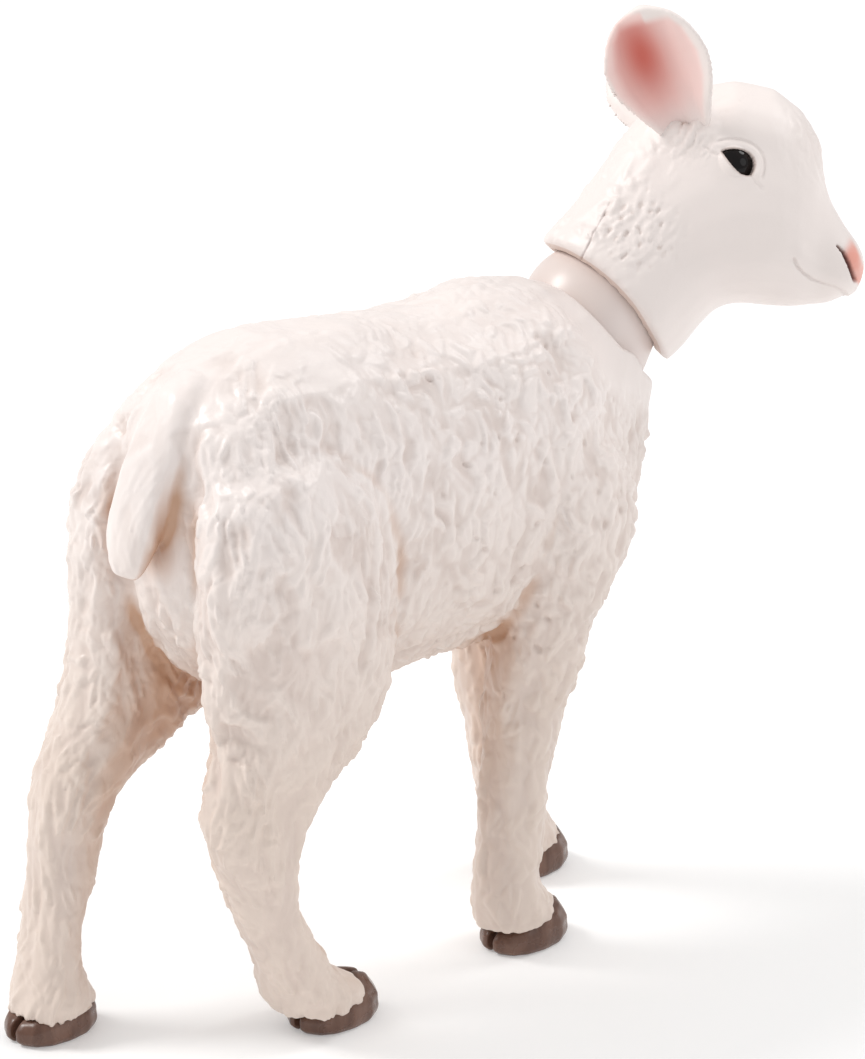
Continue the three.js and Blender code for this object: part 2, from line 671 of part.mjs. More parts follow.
// The head's two shells round the tongue, with ears and eyes, about the centre of the dome
function noddingHead() {
  const group = new THREE.Group();
  const body = headSolid();
  const reach = 2 * head.length;
  const front = solid(box(-head.splitBack + parting / 2, reach, -reach, reach, -reach, reach));
  const back = solid(box(-reach, -head.splitBack - parting / 2, -reach, reach, -reach, reach));
  group.add(piece('face_shell', body.intersect(front), 'fleece'));
  group.add(piece('nape_shell', body.intersect(back), 'fleece'));
  group.add(piece('head_tongue', tongueSolid(), 'link'));
  for (const [name, side] of sides) {
    group.add(piece(`ear_${name}`, earSolid(side), 'pink'));
    group.add(piece(`eye_${name}`, eyeGeometry(side, 0), 'glass'));
  }
  return group;
}

const neck = new THREE.Group();
neck.applyMatrix4(neckFrame);
neck.rotateZ(THREE.MathUtils.degToRad(head.restTurn));
for (const [name, side] of sides) {
  neck.add(piece(`neck_half_${name}`, neckSolid().intersect(sideRoom(side)), 'skin'));
}
neck.add(piece('nod_pin', pinGeometry(0), 'link'));
const nodding = noddingHead();
nodding.position.z = dome.rise;
nodding.rotation.y = THREE.MathUtils.degToRad(head.restNod);
neck.add(nodding);

// The lamb stands on its hooves with the middle of its box over the origin
const lamb = new THREE.Group();
lamb.add(standingBody(), neck);
const bounds = new THREE.Box3().setFromObject(lamb, true);
const middle = bounds.getCenter(new THREE.Vector3());
lamb.position.set(-middle.x, -middle.y, -bounds.min.z);

export default lamb;
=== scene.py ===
# %% [markdown]
# # A toy lamb in moulded plastic
# The real toy is a hollow lamb whose wool is sculpted in the mould, so the fleece is hard, satin plastic.
# The CAD model has its pieces and its smooth outline. Here they get the wool, the face and the paint.
# Everything is in metres, in the CAD model's own frame: X to the front, Y to the lamb's left, Z up.

# %% Load the frame
import json
import math
import bpy
import numpy as np
from mathutils import Matrix, Vector, kdtree
from mathutils.bvhtree import BVHTree

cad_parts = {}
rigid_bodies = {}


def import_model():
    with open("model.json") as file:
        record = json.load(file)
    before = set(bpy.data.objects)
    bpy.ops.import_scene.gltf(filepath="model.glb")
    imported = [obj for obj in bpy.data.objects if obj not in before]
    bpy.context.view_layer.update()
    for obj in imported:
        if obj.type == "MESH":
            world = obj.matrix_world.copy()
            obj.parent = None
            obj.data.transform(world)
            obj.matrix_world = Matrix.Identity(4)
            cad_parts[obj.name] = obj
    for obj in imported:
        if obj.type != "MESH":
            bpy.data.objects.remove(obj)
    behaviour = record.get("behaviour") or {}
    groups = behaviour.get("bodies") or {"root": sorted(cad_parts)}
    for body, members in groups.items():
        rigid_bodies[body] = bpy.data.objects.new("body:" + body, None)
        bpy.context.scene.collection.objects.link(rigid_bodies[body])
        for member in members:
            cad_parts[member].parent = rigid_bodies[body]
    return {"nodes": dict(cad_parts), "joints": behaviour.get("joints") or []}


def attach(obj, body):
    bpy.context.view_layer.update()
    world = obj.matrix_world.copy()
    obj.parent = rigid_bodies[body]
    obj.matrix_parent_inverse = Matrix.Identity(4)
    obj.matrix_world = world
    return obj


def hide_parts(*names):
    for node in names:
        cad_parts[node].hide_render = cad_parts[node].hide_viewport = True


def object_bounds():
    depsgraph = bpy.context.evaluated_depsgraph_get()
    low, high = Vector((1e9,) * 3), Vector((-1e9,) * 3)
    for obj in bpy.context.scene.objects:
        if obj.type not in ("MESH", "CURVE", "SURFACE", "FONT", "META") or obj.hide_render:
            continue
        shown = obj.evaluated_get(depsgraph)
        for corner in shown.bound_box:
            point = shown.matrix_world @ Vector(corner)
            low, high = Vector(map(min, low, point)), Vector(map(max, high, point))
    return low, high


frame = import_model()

MM = 0.001
cad_low, cad_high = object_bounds()
chance = np.random.default_rng(7)

# %% [markdown]
# ## Where neck and head are
# The neck turns about an axis that leans out of the collar, and the head nods about a pin in its dome. The
# record gives both joints. From them come two sets of directions, so that later steps can speak of up and
# ahead as the lamb's head sees them, and not as the room does.

# %% Joints, neck and head directions
REST_NOD = math.radians(4.7)
joints = {joint["name"]: joint for joint in frame["joints"]}


def unit(vector):
    return np.asarray(vector, float) / np.linalg.norm(vector)


NECK_AT = np.array(joints["neck_turn"]["pos_m"])
NECK_UP = unit(joints["neck_turn"]["axis"])
HEAD_AT = np.array(joints["head_nod"]["pos_m"])
SIDEWAYS = -unit(joints["head_nod"]["axis"])
NECK_AHEAD = np.cross(SIDEWAYS, NECK_UP)
HEAD_UP = NECK_UP * math.cos(REST_NOD) + NECK_AHEAD * math.sin(REST_NOD)
HEAD_AHEAD = np.cross(SIDEWAYS, HEAD_UP)
NECK_WAYS = np.array([NECK_AHEAD, SIDEWAYS, NECK_UP])
HEAD_WAYS = np.array([HEAD_AHEAD, SIDEWAYS, HEAD_UP])


def in_neck(points):
    """Places ahead, to the left and up from the collar's centre, in millimetres."""
    return (points - NECK_AT) @ NECK_WAYS.T / MM


def in_head(points):
    """Places ahead, to the left and up from the head's joint, in millimetres."""
    return (points - HEAD_AT) @ HEAD_WAYS.T / MM


def from_head(places):
    return HEAD_AT + places @ HEAD_WAYS * MM


print("the head looks towards", HEAD_AHEAD.round(2))

# %% [markdown]
# ## The camera
# A photograph taken from a little over a metre away shows little perspective. The camera stands behind the
# lamb's right shoulder, 21 degrees above level, and looks at the middle of the body. The lens follows
# from how many picture points one millimetre covers at that distance.

# %% Place the camera
VIEW_DISTANCE = 1200 * MM
VIEW_TURN = math.radians(47)
VIEW_LIFT = math.radians(21)
VIEW_TARGET = Vector(NECK_AT) + Vector((-50.3, -3.8, -34.7)) * MM
PHOTO_HEIGHT = 1059
POINTS_PER_MM = 4.55
SENSOR = 36


def toward_camera():
    level = math.cos(VIEW_LIFT)
    return Vector((-math.cos(VIEW_TURN) * level, -math.sin(VIEW_TURN) * level, math.sin(VIEW_LIFT)))


def place_camera():
    lens = bpy.data.cameras.new("camera")
    lens.sensor_width = SENSOR
    lens.lens = SENSOR * POINTS_PER_MM * VIEW_DISTANCE / MM / PHOTO_HEIGHT
    lens.clip_start = 10 * MM
    camera = bpy.data.objects.new("camera", lens)
    camera.location = VIEW_TARGET + VIEW_DISTANCE * toward_camera()
    camera.rotation_euler = toward_camera().to_track_quat("Z", "Y").to_euler()
    bpy.context.scene.collection.objects.link(camera)
    bpy.context.scene.camera = camera
    print("lens", round(lens.lens, 1), "mm at", [round(v, 3) for v in camera.location])


place_camera()

# %% [markdown]
# ## Floor and lights
# The lamb is a white toy on a white ground, so its shape shows only through soft shade. A large lamp from
# the upper left lights the back and the rump, a weak one from the right keeps the chest from going grey,
# and a bright world fills the rest. The floor glows a little, as a white sheet over a light table does, so
# the ground stays white under the lamb too. The Standard view keeps white as white.

# %% Floor and lights
FLOOR_SIZE = 4.0
FLOOR_WHITE = (0.78, 0.78, 0.78, 1)
FLOOR_GLOW = 0.24
KEY_POWER = 16
BROW_POWER = 5.5
FILL_POWER = 2.0
SKY_STRENGTH = 0.64


def new_material(name):
    material = bpy.data.materials.new(name)
    material.use_nodes = True
    return material, material.node_tree, material.node_tree.nodes["Principled BSDF"]


def lay_floor():
    bpy.ops.mesh.primitive_plane_add(size=FLOOR_SIZE)
    floor = bpy.context.object
    floor.name = "floor"
    material, _, shader = new_material("floor_white")
    shader.inputs["Base Color"].default_value = FLOOR_WHITE
    shader.inputs["Roughness"].default_value = 0.8
    shader.inputs["Emission Color"].default_value = (1, 1, 1, 1)
    shader.inputs["Emission Strength"].default_value = FLOOR_GLOW
    floor.data.materials.append(material)


def hang_lamp(name, place, size, power, warmth):
    lamp = bpy.data.lights.new(name, "AREA")
    lamp.shape = "DISK"
    lamp.size = size
    lamp.energy = power
    lamp.color = warmth
    holder = bpy.data.objects.new(name, lamp)
    holder.location = place
    holder.rotation_euler = (Vector(place) - VIEW_TARGET).to_track_quat("Z", "Y").to_euler()
    bpy.context.scene.collection.objects.link(holder)


def light_world(strength):
    world = bpy.data.worlds.new("studio")
    world.use_nodes = True
    world.node_tree.nodes["Background"].inputs["Color"].default_value = (1, 1, 1, 1)
    world.node_tree.nodes["Background"].inputs["Strength"].default_value = strength
    bpy.context.scene.world = world


lay_floor()
hang_lamp("key_lamp", (-0.8, 0.85, 1.3), 0.6, KEY_POWER, (1, 0.99, 0.975))
hang_lamp("brow_lamp", (0.9, -0.35, 1.3), 0.6, BROW_POWER, (1, 0.99, 0.98))
hang_lamp("fill_lamp", (0.5, -1.3, 0.7), 0.9, FILL_POWER, (1, 1, 1))
light_world(SKY_STRENGTH)
bpy.context.scene.view_settings.view_transform = "Standard"

# %% [markdown]
# ## Small helpers
# An operator acts on everything that is selected, so each piece is picked alone before one is used.
# A copy of a CAD node has loose triangles, so its doubles are merged before it is worked on.

# %% Pick, copy and apply


def pick(*pieces):
    if bpy.context.object and bpy.context.object.mode != "OBJECT":
        bpy.ops.object.mode_set(mode="OBJECT")
    bpy.ops.object.select_all(action="DESELECT")
    for piece in pieces:
        piece.select_set(True)
    bpy.context.view_layer.objects.active = pieces[0]


def copy_of(name, *nodes):
    """One new object, with the merged meshes of some CAD nodes."""
    copies = []
    for node in nodes:
        copy = bpy.data.objects.new(name, frame["nodes"][node].data.copy())
        bpy.context.scene.collection.objects.link(copy)
        copies.append(copy)
    pick(*copies)
    if len(copies) > 1:
        bpy.ops.object.join()
    piece = bpy.context.object
    piece.name = name
    bpy.ops.object.mode_set(mode="EDIT")
    bpy.ops.mesh.select_all(action="SELECT")
    bpy.ops.mesh.remove_doubles(threshold=0.001 * MM)
    bpy.ops.object.mode_set(mode="OBJECT")
    piece.data.materials.clear()
    return piece


def apply_modifier(piece, kind, **settings):
    pick(piece)
    bpy.ops.object.modifier_add(type=kind)
    modifier = piece.modifiers[-1]
    for key, value in settings.items():
        setattr(modifier, key, value)
    bpy.ops.object.modifier_apply(modifier=modifier.name)


def triangles_in(piece):
    return sum(len(face.vertices) - 2 for face in piece.data.polygons)


# %% Read and write a mesh as arrays


def points_of(piece):
    flat = np.empty(len(piece.data.vertices) * 3, np.float32)
    piece.data.vertices.foreach_get("co", flat)
    return flat.reshape(-1, 3).astype(float)


def normals_of(piece):
    flat = np.empty(len(piece.data.vertices) * 3, np.float32)
    piece.data.vertex_normals.foreach_get("vector", flat)
    return flat.reshape(-1, 3).astype(float)


def move_points(piece, points):
    piece.data.vertices.foreach_set("co", points.astype(np.float32).ravel())
    piece.data.update()


def face_centres(piece):
    flat = np.empty(len(piece.data.polygons) * 3, np.float32)
    piece.data.polygons.foreach_get("center", flat)
    return flat.reshape(-1, 3).astype(float)


def keep_values(piece, name, values):
    attribute = piece.data.attributes.new(name, "FLOAT", "POINT")
    attribute.data.foreach_set("value", values.astype(np.float32))


def ramp(values, start, end):
    """0 at start, 1 at end, with soft ends."""
    t = np.clip((values - start) / (end - start), 0, 1)
    return t * t * (3 - 2 * t)


def averaged(piece, values, rounds):
    """Evens values out over the mesh's edges."""
    ends = np.empty(len(piece.data.edges) * 2, np.int32)
    piece.data.edges.foreach_get("vertices", ends)
    a, b = ends.reshape(-1, 2).T
    count = len(values)
    links = np.maximum(np.bincount(a, minlength=count) + np.bincount(b, minlength=count), 1)
    for _ in range(rounds):
        near = np.bincount(a, values[b], count) + np.bincount(b, values[a], count)
        values = 0.5 * values + 0.5 * near / links
    return values


# %% Select and weigh


def select_faces(piece, chosen):
    """Goes into edit mode with only the chosen faces selected."""
    pick(piece)
    bpy.ops.object.mode_set(mode="EDIT")
    bpy.ops.mesh.select_mode(type="FACE")
    bpy.ops.mesh.select_all(action="DESELECT")
    bpy.ops.object.mode_set(mode="OBJECT")
    piece.data.polygons.foreach_set("select", np.asarray(chosen, bool))
    bpy.ops.object.mode_set(mode="EDIT")


def keep_linked_to(piece, face):
    """Deletes every loose part but the one with this face."""
    select_faces(piece, np.arange(len(piece.data.polygons)) == face)
    bpy.ops.mesh.select_linked()
    bpy.ops.mesh.select_all(action="INVERT")
    bpy.ops.mesh.delete(type="FACE")
    bpy.ops.object.mode_set(mode="OBJECT")


def smooth(piece, rounds, weights):
    """The Smooth modifier, as strong at each point as its weight."""
    group = piece.vertex_groups.new(name="soft")
    steps = np.round(weights * 10) / 10
    for step in np.unique(steps):
        group.add(np.flatnonzero(steps == step).tolist(), float(step), "REPLACE")
    apply_modifier(piece, "SMOOTH", factor=0.5, iterations=rounds, vertex_group="soft")
    piece.vertex_groups.clear()


# %% [markdown]
# ## One skin for trunk, legs and tail
# On the toy the wool runs from the trunk over the legs without a visible joint. So the seven CAD pieces
# are remeshed together into one skin, sculpted as one, and split into pieces again at the end.
# The voxel is wider than the gaps between the pieces, so it closes them.

# %% Remesh the fleece
FLEECE_NODES = ["body_shell_left", "body_shell_right", "leg_rear_left", "leg_rear_right",
                "leg_front_left", "leg_front_right", "tail"]
FLEECE_VOXEL = 0.86 * MM

fleece = copy_of("fleece", *FLEECE_NODES)
apply_modifier(fleece, "REMESH", mode="VOXEL", voxel_size=FLEECE_VOXEL)
print("fleece:", len(fleece.data.polygons), "faces")

# %% [markdown]
# ## Away with the inner wall
# The trunk is hollow, and nobody sees its inner wall. It hangs on the outer skin only at the bore in the
# collar, where the neck's shank goes through. A ring of faces is deleted there, the outer skin is picked
# by its lowest face with Select Linked, and the rest goes. Two extrusions then close the skin with a
# pocket that leaves room for the neck's flange.

# %% Cut at the bore and close the pocket
DECK_TOP = -8.0
DECK_THICKNESS = 2.6
BORE_REACH = 13.5
POCKET_DEPTH = 5 * MM
POCKET_SPREAD = 1.32


def about_neck(points):
    """Height above the collar's centre along the neck, and distance from its axis, in millimetres."""
    places = in_neck(points)
    return places[:, 2], np.hypot(places[:, 0], places[:, 1])


def cut_the_hollow_away():
    height, radius = about_neck(face_centres(fleece))
    ring = (radius < BORE_REACH) & (height < DECK_TOP - 0.2 * DECK_THICKNESS)
    select_faces(fleece, ring & (height > DECK_TOP - 0.9 * DECK_THICKNESS))
    bpy.ops.mesh.delete(type="FACE")
    bpy.ops.object.mode_set(mode="OBJECT")
    keep_linked_to(fleece, face_centres(fleece)[:, 2].argmin())
    down = Vector(NECK_UP) * -POCKET_DEPTH
    centre = Vector(NECK_AT + NECK_UP * DECK_TOP * MM)
    select_faces(fleece, np.zeros(len(fleece.data.polygons), bool))
    bpy.ops.mesh.select_mode(type="EDGE")
    bpy.ops.mesh.select_non_manifold()
    bpy.ops.mesh.extrude_edges_move(TRANSFORM_OT_translate={"value": down * 0.1})
    bpy.ops.transform.resize(value=(POCKET_SPREAD,) * 3, center_override=centre)
    bpy.ops.mesh.extrude_edges_move(TRANSFORM_OT_translate={"value": down})
    bpy.ops.mesh.edge_face_add()
    bpy.ops.object.mode_set(mode="OBJECT")
    print("outer skin:", len(fleece.data.polygons), "faces")


cut_the_hollow_away()

# %% [markdown]
# ## Soft creases
# In the mould the thigh rises out of the flank without a step. The Smooth modifier rounds those creases.
# Weights keep it off the thin lip of the collar and off the seats of the hooves.

# %% Smooth the creases
LIP_RADIUS = (20, 23)
LIP_BAND = 6
FOOT_TOP = 14 * MM
MIDDLE = NECK_AT[1]
CREASE_ROUNDS = 4
TAIL_ROUNDS = 30


def near_lip(points):
    height, radius = about_neck(points)
    return ramp(height, DECK_TOP - LIP_BAND, DECK_TOP) * ramp(radius, *LIP_RADIUS[::-1])


def about_tail(points):
    """1 on the tail and where it leaves the rump, 0 elsewhere."""
    x, y, z = points.T
    beside = ramp(abs(y - MIDDLE), 14 * MM, 10 * MM)
    return ramp(x, -72 * MM, -78 * MM) * beside * ramp(z, 90 * MM, 97 * MM) * ramp(z, 158 * MM, 148 * MM)


def smooth_creases():
    points = points_of(fleece)
    soft = 1 - near_lip(points)
    soft *= 0.2 + 0.8 * ramp(points[:, 2], FOOT_TOP, FOOT_TOP + 8 * MM)
    smooth(fleece, CREASE_ROUNDS, soft)
    smooth(fleece, TAIL_ROUNDS, about_tail(points_of(fleece)))


smooth_creases()

# %% [markdown]
# ## Which piece a face belongs to
# Each face goes to the CAD node that it lies nearest to, kept as its material index. Subdivision keeps the
# index, and Separate by Material splits the skin with it at the end.

# %% Label the faces


def triangles_of(nodes):
    """Corners, triangles and the node of each triangle, over some CAD nodes."""
    corners, faces, owner = [], [], []
    for index, node in enumerate(nodes):
        mesh = frame["nodes"][node].data
        start = len(corners)
        corners += [vertex.co[:] for vertex in mesh.vertices]
        for face in mesh.polygons:
            faces.append([start + corner for corner in face.vertices])
            owner.append(index)
    return corners, faces, owner


def label_faces(piece, nodes, labels):
    for node in nodes:
        piece.data.materials.append(bpy.data.materials.new(node))
    piece.data.polygons.foreach_set("material_index", labels)
    print({node: labels.count(index) for index, node in enumerate(nodes)})


def nearest_nodes(piece, nodes):
    corners, faces, owner = triangles_of(nodes)
    tree = BVHTree.FromPolygons(corners, faces)
    return [owner[tree.find_nearest(centre)[2]] for centre in face_centres(piece)]


fleece_labels = nearest_nodes(fleece, FLEECE_NODES)
label_faces(fleece, FLEECE_NODES, fleece_labels)

# %% [markdown]
# ## How deep a place lies
# Between the legs and beside the tail the plastic looks tan, because light reaches it only through and off
# the toy itself. A few rays from each point tell how much of the sky it sees. The share that is blocked
# is kept as an attribute, so the paint can follow it without knowing where the camera is. Narrow creases,
# such as the one before the thigh, are found by how far a point lies behind its evened surroundings.

# %% Cast rays for the shaded places
RAYS = 14
RAY_REACH = 70 * MM
FLANK_REACH = 9 * MM
FLANK_DEPTH = 1.1 * MM
CAVITY_ROUNDS = 40
CAVITY_RANGE = (0.12, 0.8)
CAVITY_SHARE = 0.42
TAIL_SHARE = 0.4


def hemisphere(count):
    """Directions about +Z, denser near it, on a sunflower spiral."""
    step = np.arange(count) + 0.5
    lift = np.sqrt(1 - step / count)
    turn = step * math.pi * (3 - math.sqrt(5))
    flat = np.sqrt(1 - lift ** 2)
    return np.stack([flat * np.cos(turn), flat * np.sin(turn), lift], axis=1)


def tangents(normals):
    guide = np.where(np.abs(normals[:, 2:3]) < 0.9, [[0, 0, 1.0]], [[1.0, 0, 0]])
    first = np.cross(guide, normals)
    first /= np.linalg.norm(first, axis=1, keepdims=True)
    return first, np.cross(normals, first)


def tree_of(piece):
    mesh = piece.data
    return BVHTree.FromPolygons([v.co[:] for v in mesh.vertices], [f.vertices[:] for f in mesh.polygons])


def shaded_share(piece, lift, *others):
    """The share of the sky that the piece itself and others block, from 0 to 1."""
    points = points_of(piece)
    normals = normals_of(piece)
    first, second = tangents(normals)
    trees = [tree_of(piece), *others]
    starts = (points + normals * lift).tolist()
    blocked = np.zeros(len(points))
    for x, y, z in hemisphere(RAYS):
        ways = (first * x + second * y + normals * z).tolist()
        hits = [any(tree.ray_cast(start, way, RAY_REACH)[0] for tree in trees)
                for start, way in zip(starts, ways)]
        blocked += np.array(hits, float)
    return averaged(piece, blocked / RAYS, 8)


def hollowness(piece, rounds):
    """How far each point lies behind the even surface around it, in millimetres, smoothed."""
    points = points_of(piece)
    even = np.stack([averaged(piece, points[:, axis], rounds) for axis in range(3)], axis=1)
    behind = ((even - points) * normals_of(piece)).sum(axis=1) / MM
    return averaged(piece, behind, 3)


def before_thighs(piece, labels):
    """1 on the flank right before a thigh, 0 elsewhere, from the labels of the faces."""
    centres = face_centres(piece)
    names = np.array(FLEECE_NODES)[labels]
    thigh = centres[np.char.startswith(names, "leg_rear")]
    tree = kdtree.KDTree(len(thigh))
    for index, place in enumerate(thigh.tolist()):
        tree.insert(place, index)
    tree.balance()
    points = points_of(piece)
    found = [tree.find(place) for place in points.tolist()]
    away = np.array([distance for _, _, distance in found])
    ahead = points[:, 0] - np.array([place[0] for place, _, _ in found])
    side = ramp(away, 1 * MM, 2.5 * MM) * ramp(away, FLANK_REACH, 3 * MM) * ramp(ahead, 0, 1.5 * MM)
    side *= ramp(points[:, 2], 92 * MM, 100 * MM) * ramp(points[:, 2], 158 * MM, 140 * MM)
    return averaged(piece, side, 4)


fleece_shade = shaded_share(fleece, FLEECE_VOXEL)
flank = before_thighs(fleece, fleece_labels)
keep_values(fleece, "flank", flank)
move_points(fleece, points_of(fleece) - normals_of(fleece) * (FLANK_DEPTH * flank)[:, None])
crease = ramp(hollowness(fleece, CAVITY_ROUNDS), *CAVITY_RANGE)
share = CAVITY_SHARE + TAIL_SHARE * ramp(points_of(fleece)[:, 0], -64 * MM, -74 * MM)
# The painted tan shade: blocked sky, narrow creases, more of them beside the tail, and the flank before the
# thighs.
keep_values(fleece, "shaded", np.clip(fleece_shade + share * crease + 0.16 * flank, 0, 1))
apply_modifier(fleece, "SUBSURF", levels=1, render_levels=1)
print("fine skin:", len(fleece.data.polygons), "faces, mean shade", round(fleece_shade.mean(), 2))

# %% [markdown]
# ## Wool as a sculptor presses it
# The wool isn't hair: it is smooth plastic with marks in it. Pointed locks stand a little out of haunch,
# chest and legs, small teardrop dents are pressed into flank and shoulder, and wide soft hollows lie
# between them. The back is nearly smooth. Each mark is laid on the skin along the way the wool hangs, and
# where marks overlap the stronger one counts.

# %% Shapes of the marks


def lock_shape(along, across):
    """A lock: it rises from its root, is widest past its middle and breaks off at a blunt tip."""
    along = np.clip(along, 0, 1)
    outline = np.minimum(1, 0.35 + 1.4 * along) * (1 - along ** 5) ** 0.6 + 1e-6
    strand = 0.86 + 0.14 * np.cos(5 * across)
    return np.clip(1 - (across / outline) ** 2, 0, 1) ** 0.8 * strand * ramp(along, -0.1, 0.6)


def dent_shape(along, across):
    """A dent: pointed above, round below, with steep sides."""
    along = np.clip(along, 0, 1)
    outline = np.sin(math.pi * along ** 1.5) + 1e-6
    return np.clip(1.7 * (1 - (across / outline) ** 2), 0, 1) * np.minimum(1, 2 * outline)


def lay_marks(skin, seeds, ways, lengths, widths, tops, shape):
    """The height of the strongest mark over each point of a skin."""
    points, normals, tree = skin
    height = np.zeros(len(points))
    for seed, way, length, width, top in zip(seeds, ways, lengths, widths, tops):
        found = tree.find_range(points[seed].tolist(), 0.55 * length)
        near = np.array([item[1] for item in found])
        rel = points[near] - points[seed]
        along = rel @ way / length + 0.5
        across = rel @ np.cross(normals[seed], way) / (0.5 * width)
        mark = top * shape(along, across)
        mark[normals[near] @ normals[seed] < 0.2] = 0
        height[near] = np.maximum(height[near], mark)
    return height


def skin_of(piece):
    """A piece's points and normals, with a search tree of its points."""
    points = points_of(piece)
    tree = kdtree.KDTree(len(points))
    for index, point in enumerate(points.tolist()):
        tree.insert(point, index)
    tree.balance()
    return points, normals_of(piece), tree


def scatter(points, spacing, draw):
    """Random points, one for each cell of a grid."""
    order = draw.permutation(len(points))
    cells = np.floor(points[order] / spacing).astype(int)
    _, first = np.unique(cells, axis=0, return_index=True)
    return order[np.sort(first)]


def ripple(points, size, seed, waves=14):
    """A smooth random field with bumps of about the given size, mostly within -1 and 1."""
    draw = np.random.default_rng(seed)
    ways = draw.normal(size=(waves, 3))
    ways /= np.linalg.norm(ways, axis=1, keepdims=True)
    pace = 2 * math.pi / (size * draw.uniform(1.4, 2.6, waves))
    phase = draw.uniform(0, 2 * math.pi, waves)
    return np.sin(points @ (ways * pace[:, None]).T + phase).sum(axis=1) * math.sqrt(2 / waves) * 0.7


def tufted(points, spacing, draw):
    """Rounded tufts of uneven height that meet in creases, a few of them sunk in, from -0.4 to 1."""
    seeds = scatter(points, spacing, draw)
    warp = np.stack([ripple(points, 6 * MM, 70 + axis) for axis in range(3)], axis=1)
    bent = (points + 0.35 * spacing * warp) * [1, 1, 1 / TUFT_STRETCH]
    tree = kdtree.KDTree(len(seeds))
    for index, place in enumerate(bent[seeds].tolist()):
        tree.insert(place, index)
    tree.balance()
    found = [tree.find_n(place, 2) for place in bent.tolist()]
    gap = np.array([second[2] - first[2] for first, second in found])
    heights = draw.uniform(-0.4, 1.0, len(seeds))
    owner = np.array([first[1] for first, _ in found])
    return np.clip(gap / (0.45 * spacing), 0, 1) ** 0.7 * heights[owner]


# %% The way the wool hangs
HIP_AT = np.array([-0.052, 0.005, 0.190])


def hanging_way(points, normals):
    """The tangent direction in which the wool hangs: fanned out below the hip, down elsewhere."""
    way = np.tile([0.0, 0.0, -1.0], (len(points), 1))
    fan = points - HIP_AT
    fan /= np.linalg.norm(fan, axis=1, keepdims=True)
    way += 1.5 * fan * ramp(points[:, 0:1], 0.0, -30 * MM)
    flat = ramp(normals[:, 2:3], 0.4, 0.9)
    outward = np.sign(points[:, 1] - MIDDLE)
    way += flat * np.stack([np.full(len(points), -0.7), 1.6 * outward, np.zeros(len(points))], axis=1)
    way -= normals * (way * normals).sum(axis=1, keepdims=True)
    way /= np.linalg.norm(way, axis=1, keepdims=True) + 1e-9
    swing = 0.42 * ripple(points, 15 * MM, 3) + 0.25 * ripple(points, 5 * MM, 4)
    side = np.cross(normals, way)
    return way * np.cos(swing)[:, None] + side * np.sin(swing)[:, None]


# %% [markdown]
# ## Where the wool is strong
# A few soft ramps over the lamb say where each kind of mark belongs. They are read off the toy: the back
# and the collar are smooth, locks cover haunch, chest and legs, and dents cover the flank.

# %% Shares of locks, dents and hollows
LOCK_SPACING = 3.7 * MM
LOCK_LENGTH = (5 * MM, 12 * MM)
LOCK_WIDTH = (1.4 * MM, 2.6 * MM)
LOCK_HEIGHT = 0.95 * MM
DENT_SPACING = 7.5 * MM
DENT_LENGTH = (1.4 * MM, 4.2 * MM)
DENT_WIDTH = (0.9 * MM, 1.7 * MM)
DENT_DEPTH = 0.7 * MM
HOLLOW_SIZE = 4.6 * MM
HOLLOW_DEPTH = 0.9 * MM
TUFT_SPACING = 4.3 * MM
TUFT_HEIGHT = 1.15 * MM
CURL_SPACING = 2.5 * MM
CURL_HEIGHT = 0.5 * MM
TUFT_STRETCH = 1.75
LUMP_SIZE = 9 * MM
LUMP_HEIGHT = 0.35 * MM
STREAK_DEPTH = 0.4 * MM
HEM_TOP = 15 * MM


def wool_shares(points, normals):
    """How strong locks, dents, hollows and streaks are at each point."""
    x, y, z = points.T
    height, radius = about_neck(points)
    bare = 1 - ramp(height, -18, -8) * ramp(radius, 30, 22)
    back = ramp(normals[:, 2] + 0.16 * ripple(points, 10 * MM, 32), 0.35, 0.95)
    shin = ramp(z, 74 * MM, 44 * MM)
    tail = ramp(x, -62 * MM, -68 * MM) * ramp(abs(y - MIDDLE), 11 * MM, 8 * MM) * ramp(z, 100 * MM, 112 * MM)
    rear = ramp(x, -14 * MM, -40 * MM)
    chest = ramp(x, 34 * MM, 52 * MM)
    patch = 0.45 + 0.55 * ramp(ripple(points, 13 * MM, 31), -0.5, 0.4)
    woolly = bare * (1 - 0.6 * back) * (1 - 0.3 * shin) * (1 - 0.85 * tail) * (1 - 0.35 * rear)
    locks = bare * (1 - back) * np.clip(0.28 + rear + chest, 0, 1) * (1 - 0.2 * shin) * (1 - 0.75 * tail)
    dents = bare * (1 - back) * (1 - 0.8 * shin) * (1 - tail) * (1 - 0.75 * rear)
    hollows = bare * (1 - back) * (0.3 + 0.7 * rear) * (1 - 0.6 * shin) * (1 - 0.6 * tail)
    streaks = shin * (1 - ramp(z, 18 * MM, 10 * MM)) + 0.5 * tail
    return locks * patch, dents, hollows, streaks, woolly, bare


# %% Press the wool into the skin


